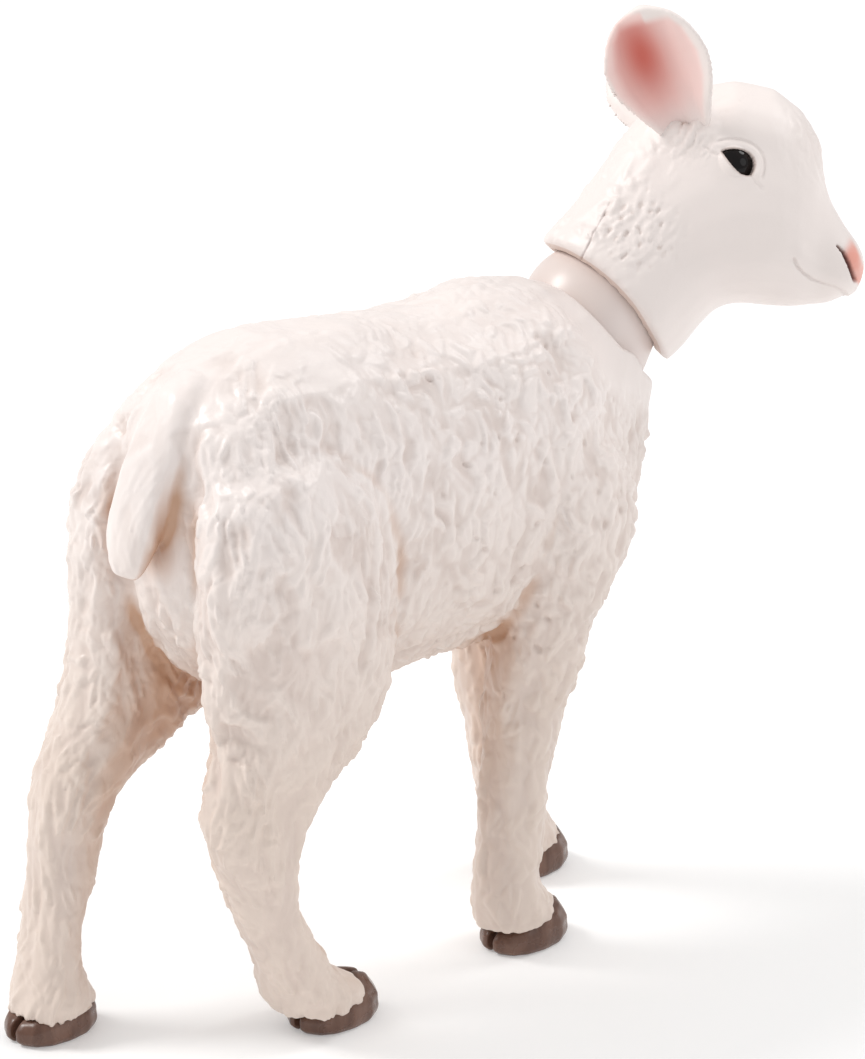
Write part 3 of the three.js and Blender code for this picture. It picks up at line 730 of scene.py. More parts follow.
def press_wool():
    skin = skin_of(fleece)
    points, normals, _ = skin
    locks, dents, hollows, streaks, woolly, bare = wool_shares(points, normals)
    raised = lay_some(skin, LOCK_SPACING, LOCK_LENGTH, LOCK_WIDTH, locks, lock_shape)
    pressed = lay_some(skin, DENT_SPACING, DENT_LENGTH, DENT_WIDTH, dents, dent_shape)
    tufts = tufted(points, TUFT_SPACING, chance) * woolly
    curls = tufted(points, CURL_SPACING, chance) * woolly
    stretched = points * [1, 1, 0.22] + 2 * MM * ripple(points, 9 * MM, 23)[:, None]
    hollow = hollows * ramp(ripple(stretched, HOLLOW_SIZE, 22), -0.2, 1.0)
    streak = streaks * ramp(ripple(points * [1, 1, 0.12], 4 * MM, 24), -0.4, 0.6)
    lump = ripple(points, LUMP_SIZE, 21) * bare
    hem = ramp(points[:, 2], HEM_TOP, 9 * MM) * (0.5 + 0.5 * ripple(points, 2.5 * MM, 25))
    rise = LOCK_HEIGHT * raised - DENT_DEPTH * pressed - HOLLOW_DEPTH * hollow
    rise += LUMP_HEIGHT * lump - STREAK_DEPTH * streak + 0.35 * MM * hem
    rise += TUFT_HEIGHT * (tufts - 0.25 * woolly) + CURL_HEIGHT * (curls - 0.25 * woolly)
    moved = points + normals * averaged(fleece, rise, 1)[:, None]
    margin = 0.05 * MM
    move_points(fleece, np.clip(moved, np.array(cad_low) + margin, np.array(cad_high) - margin))
    # Painted shade: dents, hollows, streaks and the low places between tufts go grey, and raised locks stay
    # light.
    low = 0.7 * woolly * ramp(0.7 * tufts + 0.3 * curls, 0.22, -0.1)
    pit_shade = 0.5 * pressed + 0.6 * hollow + 0.35 * streak + low - 0.8 * raised
    keep_values(fleece, "pit_shade", averaged(fleece, np.clip(pit_shade, 0, 1), 1))


def lay_some(skin, spacing, lengths, widths, share, shape):
    """Marks of mixed sizes over a skin, as strong as the share at their middle."""
    points, normals, _ = skin
    seeds = scatter(points, spacing, chance)
    seeds = seeds[share[seeds] > 0.04]
    ways = hanging_way(points[seeds], normals[seeds])
    size = chance.uniform(0, 1, len(seeds)) ** 1.8
    length = lengths[0] + size * (lengths[1] - lengths[0])
    width = widths[0] + size * (widths[1] - widths[0])
    tops = chance.uniform(0.2, 1.0, len(seeds)) * share[seeds]
    marks = lay_marks(skin, seeds, ways, length, width, tops, shape)
    print(len(seeds), "marks, mean", round(marks.mean(), 3))
    return marks


press_wool()

# %% [markdown]
# ## Apart again
# The sculpted skin is split into its pieces. The open border of each piece is extruded inward, so that
# the face that closes it lies under the surface, and the piece keeps the normals that the whole skin
# had, so no line shows where two pieces meet.

# %% Split a skin
CAP_DEPTH = 2.2 * MM
LIP_CAP_DEPTH = 0.5 * MM


def close_border(part, depth_at):
    """Extrudes the open border inward along the kept normals and fills it."""
    count = len(part.data.vertices)
    select_faces(part, np.zeros(len(part.data.polygons), bool))
    bpy.ops.mesh.select_mode(type="EDGE")
    bpy.ops.mesh.select_non_manifold()
    bpy.ops.mesh.extrude_edges_move()
    bpy.ops.object.mode_set(mode="OBJECT")
    points = points_of(part)
    kept = kept_normals(part)
    border = slice(count, len(points))
    points[border] -= kept[border] * depth_at(points[border])[:, None]
    move_points(part, points)
    pick(part)
    bpy.ops.object.mode_set(mode="EDIT")
    bpy.ops.mesh.select_all(action="SELECT")
    bpy.ops.mesh.fill_holes(sides=0)
    bpy.ops.object.mode_set(mode="OBJECT")


def kept_normals(part):
    flat = np.empty(len(part.data.vertices) * 3, np.float32)
    part.data.attributes["whole_normal"].data.foreach_get("vector", flat)
    return flat.reshape(-1, 3).astype(float)


def split_skin(piece, nodes, depth_at):
    """Separates by material, closes each piece, and gives it the whole skin's normals."""
    whole = piece.data.attributes.new("whole_normal", "FLOAT_VECTOR", "POINT")
    whole.data.foreach_set("vector", normals_of(piece).astype(np.float32).ravel())
    pick(piece)
    bpy.ops.object.mode_set(mode="EDIT")
    bpy.ops.mesh.separate(type="MATERIAL")
    bpy.ops.object.mode_set(mode="OBJECT")
    parts = {}
    for part in list(bpy.context.selected_objects):
        node = part.data.materials[part.data.polygons[0].material_index].name
        close_border(part, depth_at)
        bpy.ops.object.shade_smooth()
        part.data.normals_split_custom_set_from_vertices(kept_normals(part).tolist())
        part.data.attributes.remove(part.data.attributes["whole_normal"])
        part.data.materials.clear()
        parts[node] = part
        print(node, triangles_in(part), "triangles")
    return parts


def fleece_cap_depth(points):
    return CAP_DEPTH - (CAP_DEPTH - LIP_CAP_DEPTH) * near_lip(points)


fleece_parts = split_skin(fleece, FLEECE_NODES, fleece_cap_depth)

# %% [markdown]
# ## The fleece's plastic
# Off-white satin plastic, a little rough. The pits and hollows of the wool get a painted shade of warm grey,
# and the places that see little sky get a painted tan shade. The legs are a little more beige than the back.
# A fine stretched noise gives the strands that are too thin for the mesh.

# %% Nodes in few words


def add_node(tree, kind, inputs=None, **settings):
    node = tree.nodes.new(kind)
    for key, value in settings.items():
        setattr(node, key, value)
    for key, value in (inputs or {}).items():
        if isinstance(value, bpy.types.NodeSocket):
            tree.links.new(value, node.inputs[key])
        else:
            node.inputs[key].default_value = value
    return node


def mixed(tree, factor, first, second):
    """A colour between two, by a factor that is a socket."""
    node = add_node(tree, "ShaderNodeMix", data_type="RGBA")
    tree.links.new(factor, node.inputs[0])
    for socket, value in ((node.inputs[6], first), (node.inputs[7], second)):
        if isinstance(value, bpy.types.NodeSocket):
            tree.links.new(value, socket)
        else:
            socket.default_value = value
    return node.outputs[2]


def spread(tree, value, low, high, to_low=0.0, to_high=1.0):
    """Maps one range of a value to another, clamped."""
    node = add_node(tree, "ShaderNodeMapRange", {
        "Value": value, "From Min": low, "From Max": high, "To Min": to_low, "To Max": to_high})
    return node.outputs["Result"]


def attribute(tree, name):
    return add_node(tree, "ShaderNodeAttribute", attribute_name=name).outputs["Fac"]


def noise(tree, scale, detail=2.0, stretch=(1, 1, 1)):
    place = add_node(tree, "ShaderNodeTexCoord").outputs["Object"]
    if stretch != (1, 1, 1):
        place = add_node(tree, "ShaderNodeMapping", {"Vector": place, "Scale": stretch}).outputs[0]
    texture = add_node(tree, "ShaderNodeTexNoise", {"Vector": place, "Scale": scale, "Detail": detail})
    return texture.outputs["Fac"]


def finish(tree, shader, color, roughness, height, strength, distance):
    """Links colour, roughness and a bump of the given height to the shader."""
    bump = add_node(tree, "ShaderNodeBump", {"Height": height, "Strength": strength, "Distance": distance})
    tree.links.new(color, shader.inputs["Base Color"])
    tree.links.new(roughness, shader.inputs["Roughness"])
    tree.links.new(bump.outputs["Normal"], shader.inputs["Normal"])


def hand_over(piece, name, node, body, material):
    piece.name = name
    piece.data.materials.clear()
    piece.data.materials.append(material)
    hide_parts(node)
    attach(piece, body)


# %% Fleece material
# The grey is painted shade for the wool's pits, and the tan is painted shade for places that see little sky.
WOOL_WHITE = (0.84, 0.765, 0.735, 1)
WOOL_BEIGE = (0.69, 0.57, 0.49, 1)
BEIGE_SPAN = (0.128, 0.062)
PIT_SHADE_GREY = (0.60, 0.49, 0.44, 1)
SHADE_TAN = (0.52, 0.31, 0.20, 1)


def fleece_material():
    material, tree, shader = new_material("fleece_plastic")
    # Painted shade: grey in the wool's pits, tan where the skin sees little sky.
    pit_shade = spread(tree, attribute(tree, "pit_shade"), 0.08, 0.9, 0.0, 0.6)
    tan = spread(tree, attribute(tree, "shaded"), 0.12, 0.62, 0.0, 0.95)
    place = add_node(tree, "ShaderNodeTexCoord").outputs["Object"]
    above = add_node(tree, "ShaderNodeSeparateXYZ", {"Vector": place}).outputs["Z"]
    color = mixed(tree, spread(tree, above, *BEIGE_SPAN, 0.0, 0.85), WOOL_WHITE, WOOL_BEIGE)
    color = mixed(tree, pit_shade, color, PIT_SHADE_GREY)
    color = mixed(tree, tan, color, SHADE_TAN)
    rough = spread(tree, noise(tree, 90.0, 3.0), 0.3, 0.7, 0.34, 0.46)
    strands = noise(tree, 1500.0, 2.0, (1.0, 1.0, 0.25))
    finish(tree, shader, color, rough, strands, 0.2, 0.12 * MM)
    return material


fleece_plastic = fleece_material()
for node, part in fleece_parts.items():
    hand_over(part, "wool_" + node, node, "body", fleece_plastic)

# %% [markdown]
# ## One skin for the head
# The head is moulded in two shells, with a fine parting line that shows only low on the neck. Both shells
# and the seats of the eyes are remeshed into one skin, and a bisect at the parting plane lays an edge
# where the two pieces meet again later. The head's hollow comes close to the forehead, and so thin a wall
# would get holes, so the hollow is shrunk first: its walls are the faces from which no ray gets out. One
# subdivision makes the skin fine, and a second one is spent only on the faces round eyes, nose, mouth
# and parting line.

# %% Remesh the head
HEAD_NODES = ["face_shell", "nape_shell"]
HEAD_VOXEL = 1.02 * MM
PARTING_AT = -6.5
SKIRT_RADIUS = 19.5
HOLLOW_FLOOR = 24

HOLLOW_AT = np.array([20.0, 0, 38])
HOLLOW_SHARE = 0.6


def enclosed_faces(piece):
    """The faces from which hardly a ray gets out of the piece."""
    flat = np.empty(len(piece.data.polygons) * 3, np.float32)
    piece.data.polygons.foreach_get("normal", flat)
    normals = flat.reshape(-1, 3).astype(float)
    first, second = tangents(normals)
    tree = tree_of(piece)
    starts = (face_centres(piece) + normals * 0.01 * MM).tolist()
    blocked = np.zeros(len(starts))
    for x, y, z in hemisphere(4 * RAYS):
        ways = (first * x + second * y + normals * z).tolist()
        blocked += [tree.ray_cast(start, way, RAY_REACH)[0] is not None for start, way in zip(starts, ways)]
    return blocked > 0.9 * 4 * RAYS


def shrink_hollow(piece):
    enclosed = enclosed_faces(piece)
    free = np.ones(len(piece.data.vertices), bool)
    for face, inside in zip(piece.data.polygons, enclosed):
        if not inside:
            free[list(face.vertices)] = False
    places = in_head(points_of(piece))
    free &= (places[:, 2] > HOLLOW_FLOOR)
    places[free] = HOLLOW_AT + (places[free] - HOLLOW_AT) * HOLLOW_SHARE
    move_points(piece, from_head(places))
    print(enclosed.sum(), "faces in the hollow,", free.sum(), "points moved")


head = copy_of("head", *HEAD_NODES, "eye_left", "eye_right")
shrink_hollow(head)
apply_modifier(head, "REMESH", mode="VOXEL", voxel_size=HEAD_VOXEL)
keep_linked_to(head, in_head(face_centres(head))[:, 0].argmax())
skirt = np.linalg.norm(in_head(points_of(head)), axis=1)
smooth(head, 5, ramp(skirt, SKIRT_RADIUS - 1.5, SKIRT_RADIUS + 1.5))
apply_modifier(head, "SUBSURF", levels=1, render_levels=1)
select_faces(head, np.ones(len(head.data.polygons), bool))
bpy.ops.mesh.bisect(plane_co=from_head(np.array([PARTING_AT, 0, 0])), plane_no=HEAD_AHEAD)
bpy.ops.object.mode_set(mode="OBJECT")
print("head:", len(head.data.polygons), "faces")

# %% [markdown]
# ## Drawing on the head
# Every feature is a line or an outline in the head's own directions, in millimetres ahead of and above
# the joint, because that is how the side view in the photograph gives them. A groove runs along a line
# and gets shallower away from it.

# %% Lines and grooves
MOUTH_LINE = np.array([[35.4, 30.2], [36.6, 29.2], [38.6, 28.5], [41.0, 28.2], [44.0, 28.5], [46.4, 29.0],
                       [48.4, 29.1], [51.5, 29.0]])
NOSTRIL_LINE = np.array([[42.6, 37.3], [44.4, 36.7], [46.8, 35.0], [49.4, 32.6]])
MOUTH_DEPTH = 0.45
MOUTH_HALF_WIDTH = 0.36
NOSTRIL_DEPTH = 1.1
NOSTRIL_HALF_WIDTH = 0.55
SEAM_DEPTH = 0.25
SEAM_HALF_WIDTH = 0.25
SEAM_TOP = 24


def from_line(flat, line):
    """How far flat places are from a line of points."""
    best = np.full(len(flat), np.inf)
    for start, end in zip(line[:-1], line[1:]):
        step = end - start
        share = np.clip((flat - start) @ step / (step @ step + 1e-9), 0, 1)
        best = np.minimum(best, np.linalg.norm(flat - start - np.outer(share, step), axis=1))
    return best


def groove(distance, half_width):
    return np.clip(1 - (distance / half_width) ** 2, 0, 1) ** 0.8


def side_view(places):
    return places[:, [0, 2]]


# %% Spend more faces on the features
FINE_REACH = 1.4
EYE_FINE_REACH = 7.5
EYE_SEAT = np.array([14.1, 14.0, 42.72])
EYE_GAZE = np.array([0.22, 1, 0.1])
EYE_RISE = 3.9
LID_TILT = math.radians(-11.7)


def eye_ways(side):
    """The foremost point of an eye, and its directions outward, ahead and up."""
    gaze = unit(EYE_GAZE * [1, side, 1])
    along = np.array([math.cos(LID_TILT), 0, math.sin(LID_TILT)])
    along = unit(along - gaze * (along @ gaze))
    up = np.cross(along, gaze) * -side
    return EYE_SEAT * [1, side, 1] + gaze * EYE_RISE, gaze, along, up * np.sign(up[2])


def refine_features():
    places = in_head(face_centres(head))
    flat = side_view(places)
    near = (from_line(flat, MOUTH_LINE) < FINE_REACH) | (from_line(flat, NOSTRIL_LINE) < FINE_REACH)
    near &= places[:, 0] > 34
    near |= (abs(places[:, 0] - PARTING_AT) < 0.8) & (places[:, 2] < SEAM_TOP) & (skirt_distance(places) > 2)
    for side in (-1, 1):
        near |= np.linalg.norm(places - eye_ways(side)[0], axis=1) < EYE_FINE_REACH
    select_faces(head, near)
    bpy.ops.mesh.subdivide(number_cuts=1)
    bpy.ops.object.mode_set(mode="OBJECT")
    print("refined:", near.sum(), "faces, now", len(head.data.polygons))


def skirt_distance(places):
    """How far out of the socket's ball a place lies."""
    return np.linalg.norm(places, axis=1) - SOCKET_RADIUS


SOCKET_RADIUS = 16.3
refine_features()

# %% [markdown]
# ## The eyes' lids
# A lamb's eye is an almond, round above and flatter below. The skin inside the almond sinks behind the
# eyeball. At its edge the lid lies half a millimetre on the ball, then runs out into the cheek. The skin
# under it is first replaced by a smooth quadratic patch, so that nothing of the old seat shows through.

# %% Sculpt the lids
BALL_RADIUS = 4.9
LID_THICKNESS = 0.55
ALMOND_HALF_LENGTH = 4.15
ALMOND_RISE = 3.4
ALMOND_FALL = 1.5
LID_REACH = 3.6
LID_LINES = (np.array([[-4.3, -1.2], [-5.6, -1.6], [-7.2, -1.5]]),
             np.array([[4.2, -0.2], [6.0, -0.7], [8.2, -0.9]]))


def almond(share):
    """Heights of the upper and lower lid's edge, for shares -1 to 1 along the eye."""
    inside = np.clip(1 - share ** 2, 0, 1)
    return ALMOND_RISE * inside ** 0.6 * (1 + 0.28 * share), -ALMOND_FALL * inside ** 0.7 * (1 + 0.25 * share)


def almond_distance(flat):
    """Distance from the almond's edge, negative inside it."""
    share = np.concatenate([np.linspace(-1, 1, 40), np.linspace(1, -1, 40)])
    upper, lower = almond(share)
    edge = np.stack([share * ALMOND_HALF_LENGTH, np.where(np.arange(80) < 40, upper, lower)], axis=1)
    top, bottom = almond(np.clip(flat[:, 0] / ALMOND_HALF_LENGTH, -1, 1))
    inside = (abs(flat[:, 0]) < ALMOND_HALF_LENGTH) & (flat[:, 1] < top) & (flat[:, 1] > bottom)
    return np.where(inside, -1, 1) * from_line(flat, edge)


def sculpt_lids(places, side):
    pole, gaze, along, up = eye_ways(side)
    rel = places - pole
    depth = rel @ gaze
    flat = np.stack([rel @ along, rel @ up], axis=1)
    reach = np.linalg.norm(flat, axis=1)
    near = (reach < 9) & (depth > -7)
    s, t = flat[near].T
    terms = np.stack([np.ones_like(s), s, t, s * s, s * t, t * t], axis=1)
    ring = (reach[near] > 5.6) & (depth[near] > -5)
    patch, *_ = np.linalg.lstsq(terms[ring], depth[near][ring], rcond=None)
    old = depth[near]
    base = terms @ patch + (old - terms @ patch) * ramp(reach[near], 5.5, 8)
    ball = np.sqrt(np.clip(BALL_RADIUS ** 2 - s ** 2 - t ** 2, 1.5, None)) - BALL_RADIUS
    edge = almond_distance(flat[near])
    lid = np.maximum(ball + LID_THICKNESS, base + 0.15)
    outside = lid + (base - lid) * ramp(edge, 0.6, LID_REACH)
    outside -= 0.32 * groove(edge - 2.0, 0.55) * ramp(t, 0.3, 1.6)
    outside += 0.28 * groove(edge - 1.1, 0.9) * ramp(t, 0.0, 1.2)
    for line in LID_LINES:
        outside -= 0.3 * groove(from_line(flat[near], line), 0.5)
    inside = ball - 1.5 * ramp(-edge, 0.0, 0.45)
    new = np.where(edge > 0, outside, np.minimum(inside, outside))
    fade = ramp(reach[near], 9, 7.6) * ramp(old, -6.5, -4.5)
    moved = places.copy()
    moved[near] += gaze * ((new - old) * fade)[:, None]
    rim = np.zeros(len(places))
    rim[near] = np.exp(-(edge / 0.4) ** 2)
    return moved, rim


def sculpt_eyes():
    places = in_head(points_of(head))
    lid_rim = np.zeros(len(places))
    for side in (-1, 1):
        places, rim = sculpt_lids(places, side)
        lid_rim = np.maximum(lid_rim, rim)
    move_points(head, from_head(places))
    return lid_rim


lid_rim = sculpt_eyes()
keep_values(head, "lid", lid_rim)

# %% [markdown]
# ## Muzzle, fringe and cheeks
# The upper lip hangs a little over the lower jaw. The fringe falls over the forehead in long locks, small
# tufts stand round the roots of the ears, and the cheek has dents and short locks. The muzzle stays smooth.

# %% Sculpt the rest of the head
FRINGE_LENGTH = (4.5 * MM, 8.5 * MM)
FRINGE_WIDTH = (1.5 * MM, 2.6 * MM)
TUFT_LENGTH = (2.6 * MM, 5 * MM)
TUFT_WIDTH = (1.1 * MM, 1.9 * MM)
HEAD_TUFT_SPACING = 3.6 * MM
HEAD_TUFT_HEIGHT = 0.75
ROOT_SWELL = 1.7
EAR_ROOT = np.array([0.6, 12.95, 46.8])


def bump_at(places, centre, reach):
    """1 at a place on either side of the head, running out to 0 at its reach."""
    folded = np.stack([places[:, 0], np.abs(places[:, 1]), places[:, 2]], axis=1)
    return ramp(np.linalg.norm(folded - centre, axis=1), reach, 0.25 * reach)


def head_wool_shares(places):
    """Where fringe, tufts, cheek dents and soft lumps are."""
    fringe = bump_at(places, np.array([24, 4, 52]), 13) * ramp(places[:, 0], 14, 19)
    tufts = bump_at(places, EAR_ROOT + [2, 1, -2], 9)
    cheek = bump_at(places, np.array([2, 15, 20]), 13)
    crown = bump_at(places, np.array([8, 6, 52]), 11)
    rim = ramp(skirt_distance(places), 2.4, 4.5)
    return fringe * rim, tufts, cheek * rim, np.maximum(0.55 * crown, 0.3 * cheek) * rim


def head_way(places, normals):
    """Ahead and down over the forehead, back and down over the cheek."""
    front = ramp(places[:, 0:1], 6, 16)
    way = front * (0.75 * HEAD_AHEAD - 0.65 * HEAD_UP) + (1 - front) * (-0.35 * HEAD_AHEAD - HEAD_UP)
    way = way - normals * (way * normals).sum(axis=1, keepdims=True)
    way /= np.linalg.norm(way, axis=1, keepdims=True) + 1e-9
    swing = 0.45 * ripple(places * MM, 6 * MM, 41)
    return way * np.cos(swing)[:, None] + np.cross(normals, way) * np.sin(swing)[:, None]


def lay_on_head(skin, spacing, lengths, widths, share, shape):
    points, normals, _ = skin
    seeds = scatter(points, spacing, chance)
    seeds = seeds[share[seeds] > 0.08]
    ways = head_way(in_head(points[seeds]), normals[seeds])
    length = chance.uniform(*lengths, len(seeds))
    width = chance.uniform(*widths, len(seeds))
    tops = chance.uniform(0.5, 1.0, len(seeds)) * share[seeds]
    print(len(seeds), "marks on the head")
    return lay_marks(skin, seeds, ways, length, width, tops, shape)


def sculpt_head():
    skin = skin_of(head)
    points, normals, _ = skin
    places = in_head(points)
    flat = side_view(places)
    outer = ramp(skirt_distance(places), 0.8, 1.6)
    fringe, tufts, cheek, soft = head_wool_shares(places)
    locks = lay_on_head(skin, 2.6 * MM, FRINGE_LENGTH, FRINGE_WIDTH, fringe, lock_shape)
    small = lay_on_head(skin, 2.2 * MM, TUFT_LENGTH, TUFT_WIDTH, np.maximum(tufts, 0.8 * cheek), lock_shape)
    dents = lay_on_head(skin, 4 * MM, (1.4 * MM, 3 * MM), (1 * MM, 1.6 * MM), 0.9 * cheek + soft, dent_shape)
    muzzle = ramp(places[:, 0], 33, 36)
    mouth = groove(from_line(flat, MOUTH_LINE), MOUTH_HALF_WIDTH) * muzzle
    nostril_width = NOSTRIL_HALF_WIDTH * (0.45 + 0.55 * ramp(places[:, 0], 42, 46))
    nostril = groove(from_line(flat, NOSTRIL_LINE), nostril_width) * ramp(abs(places[:, 1]), 1.2, 2.4)
    seam = groove(places[:, 0] - PARTING_AT, SEAM_HALF_WIDTH) * ramp(places[:, 2], SEAM_TOP, SEAM_TOP - 6)
    below = ramp(np.interp(places[:, 0], *MOUTH_LINE.T) - places[:, 2], 0, 0.6) * ramp(places[:, 0], 38, 46)
    jaw = below * ramp(np.interp(places[:, 0], *MOUTH_LINE.T) - places[:, 2], 6, 1)
    lip = np.exp(-((from_line(flat, MOUTH_LINE + [0, 2.2])) / 1.8) ** 2) * muzzle * (1 - below)
    wing = np.exp(-((from_line(flat, NOSTRIL_LINE + [0.9, 1.2])) / 1.0) ** 2) * ramp(places[:, 0], 42, 45)
    rise = 0.95 * locks + 0.7 * small - 0.5 * dents - 0.6 * soft * ramp(ripple(points, 5 * MM, 44), 0, 0.8)
    rise += 0.35 * lip + 0.2 * wing - 0.55 * jaw + 0.12 * ripple(points, 7 * MM, 43)
    woolly = np.maximum(0.75 * ramp(places[:, 0], 9, -3), 0.8 * np.maximum(fringe, 0.7 * tufts))
    woolly *= ramp(skirt_distance(places), 2.6, 5)
    rise += HEAD_TUFT_HEIGHT * woolly * (tufted(points, HEAD_TUFT_SPACING, chance) - 0.2)
    rise += ROOT_SWELL * bump_at(places, EAR_ROOT + [0.5, 0.5, -0.5], 8)
    rise = averaged(head, rise, 1) - MOUTH_DEPTH * mouth - NOSTRIL_DEPTH * nostril
    rise -= SEAM_DEPTH * seam
    points = points + normals * (rise * outer * MM)[:, None]
    margin = 0.05 * MM
    move_points(head, np.clip(points, np.array(cad_low) + margin, np.array(cad_high) - margin))
    above = places[:, 2] - np.interp(places[:, 0], *NOSTRIL_LINE.T)
    pad = ramp(above, -0.6, 0.2) * ramp(above, 4.6, 3.2) * ramp(places[:, 0], 43.5, 46)
    keep_values(head, "pink", averaged(head, pad, 2))
    keep_values(head, "dark", np.clip(nostril + 0.1 * mouth + 0.3 * seam, 0, 1))
    # Painted shade: the dents and the places between fringe locks and tufts go grey.
    keep_values(head, "pit_shade", np.clip(dents + 0.4 * (fringe + tufts) * (1 - np.maximum(locks, small)), 0, 1))


sculpt_head()

# %% Split the head at its parting line
HEAD_CAP_DEPTH = 0.45 * MM


def head_cap_depth(points):
    return np.full(len(points), HEAD_CAP_DEPTH)


def label_head():
    behind = in_head(face_centres(head))[:, 0] < PARTING_AT
    label_faces(head, HEAD_NODES, behind.astype(int).tolist())


def head_shade():
    """The blocked share of the sky, without the rims of the eyes, and a painted tan shade along the skirt's rim
    and inside it.
    """
    places = in_head(points_of(head))
    shade = shaded_share(head, 0.4 * MM)
    for side in (-1, 1):
        shade *= ramp(np.linalg.norm(places - eye_ways(side)[0], axis=1), 5, 8)
    return np.maximum(shade, 0.5 * ramp(skirt_distance(places), 2.7, 2.1))


keep_values(head, "shaded", head_shade())
label_head()
head_parts = split_skin(head, HEAD_NODES, head_cap_depth)

# %% [markdown]
# ## Ears
# An ear is a cupped leaf with a rolled rim. The CAD leaf is remeshed finely. The rim swells a little, and
# the cup gets deeper towards a hollow above the root. Two soft folds run along it. The pink
# spray paint lies only in the cup: deep red at the back of the hollow, pale towards the root.

# %% Sculpt the ears
EAR_VOXEL = 0.32 * MM
EAR_ROUNDS = 16
EAR_SINK = 1.8 * MM
EAR_LENGTH = 30
EAR_OUTLINE = np.array([[0.0, 5.1], [0.2, 8.7], [0.4, 11.4], [0.6, 12.4], [0.8, 10.1], [0.93, 6.4], [1.0, 1.3]])
EAR_ALONG = np.array([-0.66, 0.52, 0.54])
EAR_ACROSS = np.array([0.93, 0.12, 0.35])
RIM_BAND = 0.2
RIM_SWELL = 0.32
CONCHA_AT = (0.64, -3.4)
CONCHA_DEPTH = 0.55


def ear_ways(side):
    along = unit(EAR_ALONG * [1, side, 1])
    across = EAR_ACROSS * [1, side, 1]
    across = unit(across - along * (across @ along))
    return along, across, np.cross(across, along) * -side


def sculpt_ear(name, side):
    ear = copy_of("cupped_" + name, name)
    apply_modifier(ear, "REMESH", mode="VOXEL", voxel_size=EAR_VOXEL)
    smooth(ear, EAR_ROUNDS, np.ones(len(ear.data.vertices)))
    points, normals = points_of(ear), normals_of(ear)
    along, across, out = ear_ways(side)
    rel = in_head(points) - EAR_ROOT * [1, side, 1]
    share, cross = rel @ along / EAR_LENGTH, rel @ across
    facing = normals @ (out @ HEAD_WAYS)
    half = np.interp(share, *EAR_OUTLINE.T)
    inner = 1 - np.maximum(np.abs(cross) / half, (share - 0.5) / 0.5)
    leaf = ramp(share, 0.0, 0.1)
    cup = ramp(facing, -0.1, 0.5) * ramp(inner, 0.06, 0.3) * leaf
    rim = ramp(inner, 1.6 * RIM_BAND, 0.3 * RIM_BAND) * leaf
    away = np.hypot((share - CONCHA_AT[0]) * EAR_LENGTH / 9.5, (cross - CONCHA_AT[1]) / 4.6)
    folds = np.sin(cross * 1.15 + 1.5 * share + 0.6 * ripple(points, 7 * MM, 51)) * cup
    tufts = ripple(points * [1, 1, 0.4], 2.6 * MM, 52) * (1 - cup) * ramp(share, 0.4, 0.05) * (1 - rim)
    rise = RIM_SWELL * rim - CONCHA_DEPTH * np.exp(-away ** 2) * cup + 0.16 * folds + 0.18 * tufts
    rise += 0.08 * ripple(points, 6 * MM, 53) * (1 - cup)
    margin = 0.05 * MM
    moved = points + normals * (averaged(ear, rise, 2) * MM)[:, None]
    moved -= np.outer(EAR_SINK * ramp(share, 0.25, 0.0), along @ HEAD_WAYS)
    move_points(ear, np.clip(moved, np.array(cad_low) + margin, np.array(cad_high) - margin))
    edge = np.where(cross > 0, ramp(inner, 0.14, 0.3), ramp(inner, 0.01, 0.09))
    sprayed = ramp(facing, -0.2, 0.35) * leaf * edge
    keep_values(ear, "pink", averaged(ear, sprayed * ramp(share, 0.02, 0.3), 3))
    keep_values(ear, "deep", averaged(ear, cup * np.exp(-(away / 1.35) ** 2) * edge, 3))
    keep_values(ear, "shaded", shaded_share(ear, 0.3 * MM))
    pick(ear)
    bpy.ops.object.shade_smooth()
    print(name, triangles_in(ear), "triangles")
    return ear


ears = {name: sculpt_ear(name, side) for name, side in (("ear_left", 1), ("ear_right", -1))}

# %% [markdown]
# ## Eyes
# An eye is a polished black ball with a shank that holds it in the head. Its half outline is spun about
# the line of sight. The lids of the head's skin already lie on it.

# %% Spin the eyes
EYE_STEPS = 56
BALL_BACK = -1.0
SHANK_RADIUS = 1.9
SHANK_END = -4.4


def spin_about(name, profile, at, axis, ahead, steps):
    """A closed body from a half outline of (radius, height) points in metres, spun about an axis."""
    mesh = bpy.data.meshes.new(name)
    corners = [at + ahead * radius + axis * height for radius, height in profile]
    mesh.from_pydata(corners, [(k, k + 1) for k in range(len(corners) - 1)], [])
    piece = bpy.data.objects.new(name, mesh)
    bpy.context.scene.collection.objects.link(piece)
    pick(piece)
    bpy.ops.object.mode_set(mode="EDIT")
    bpy.ops.mesh.select_all(action="SELECT")
    bpy.ops.mesh.spin(steps=steps, angle=2 * math.pi, center=at, axis=axis)
    bpy.ops.mesh.select_all(action="SELECT")
    bpy.ops.mesh.remove_doubles(threshold=0.002 * MM)
    bpy.ops.mesh.normals_make_consistent(inside=False)
    bpy.ops.object.mode_set(mode="OBJECT")
    return piece


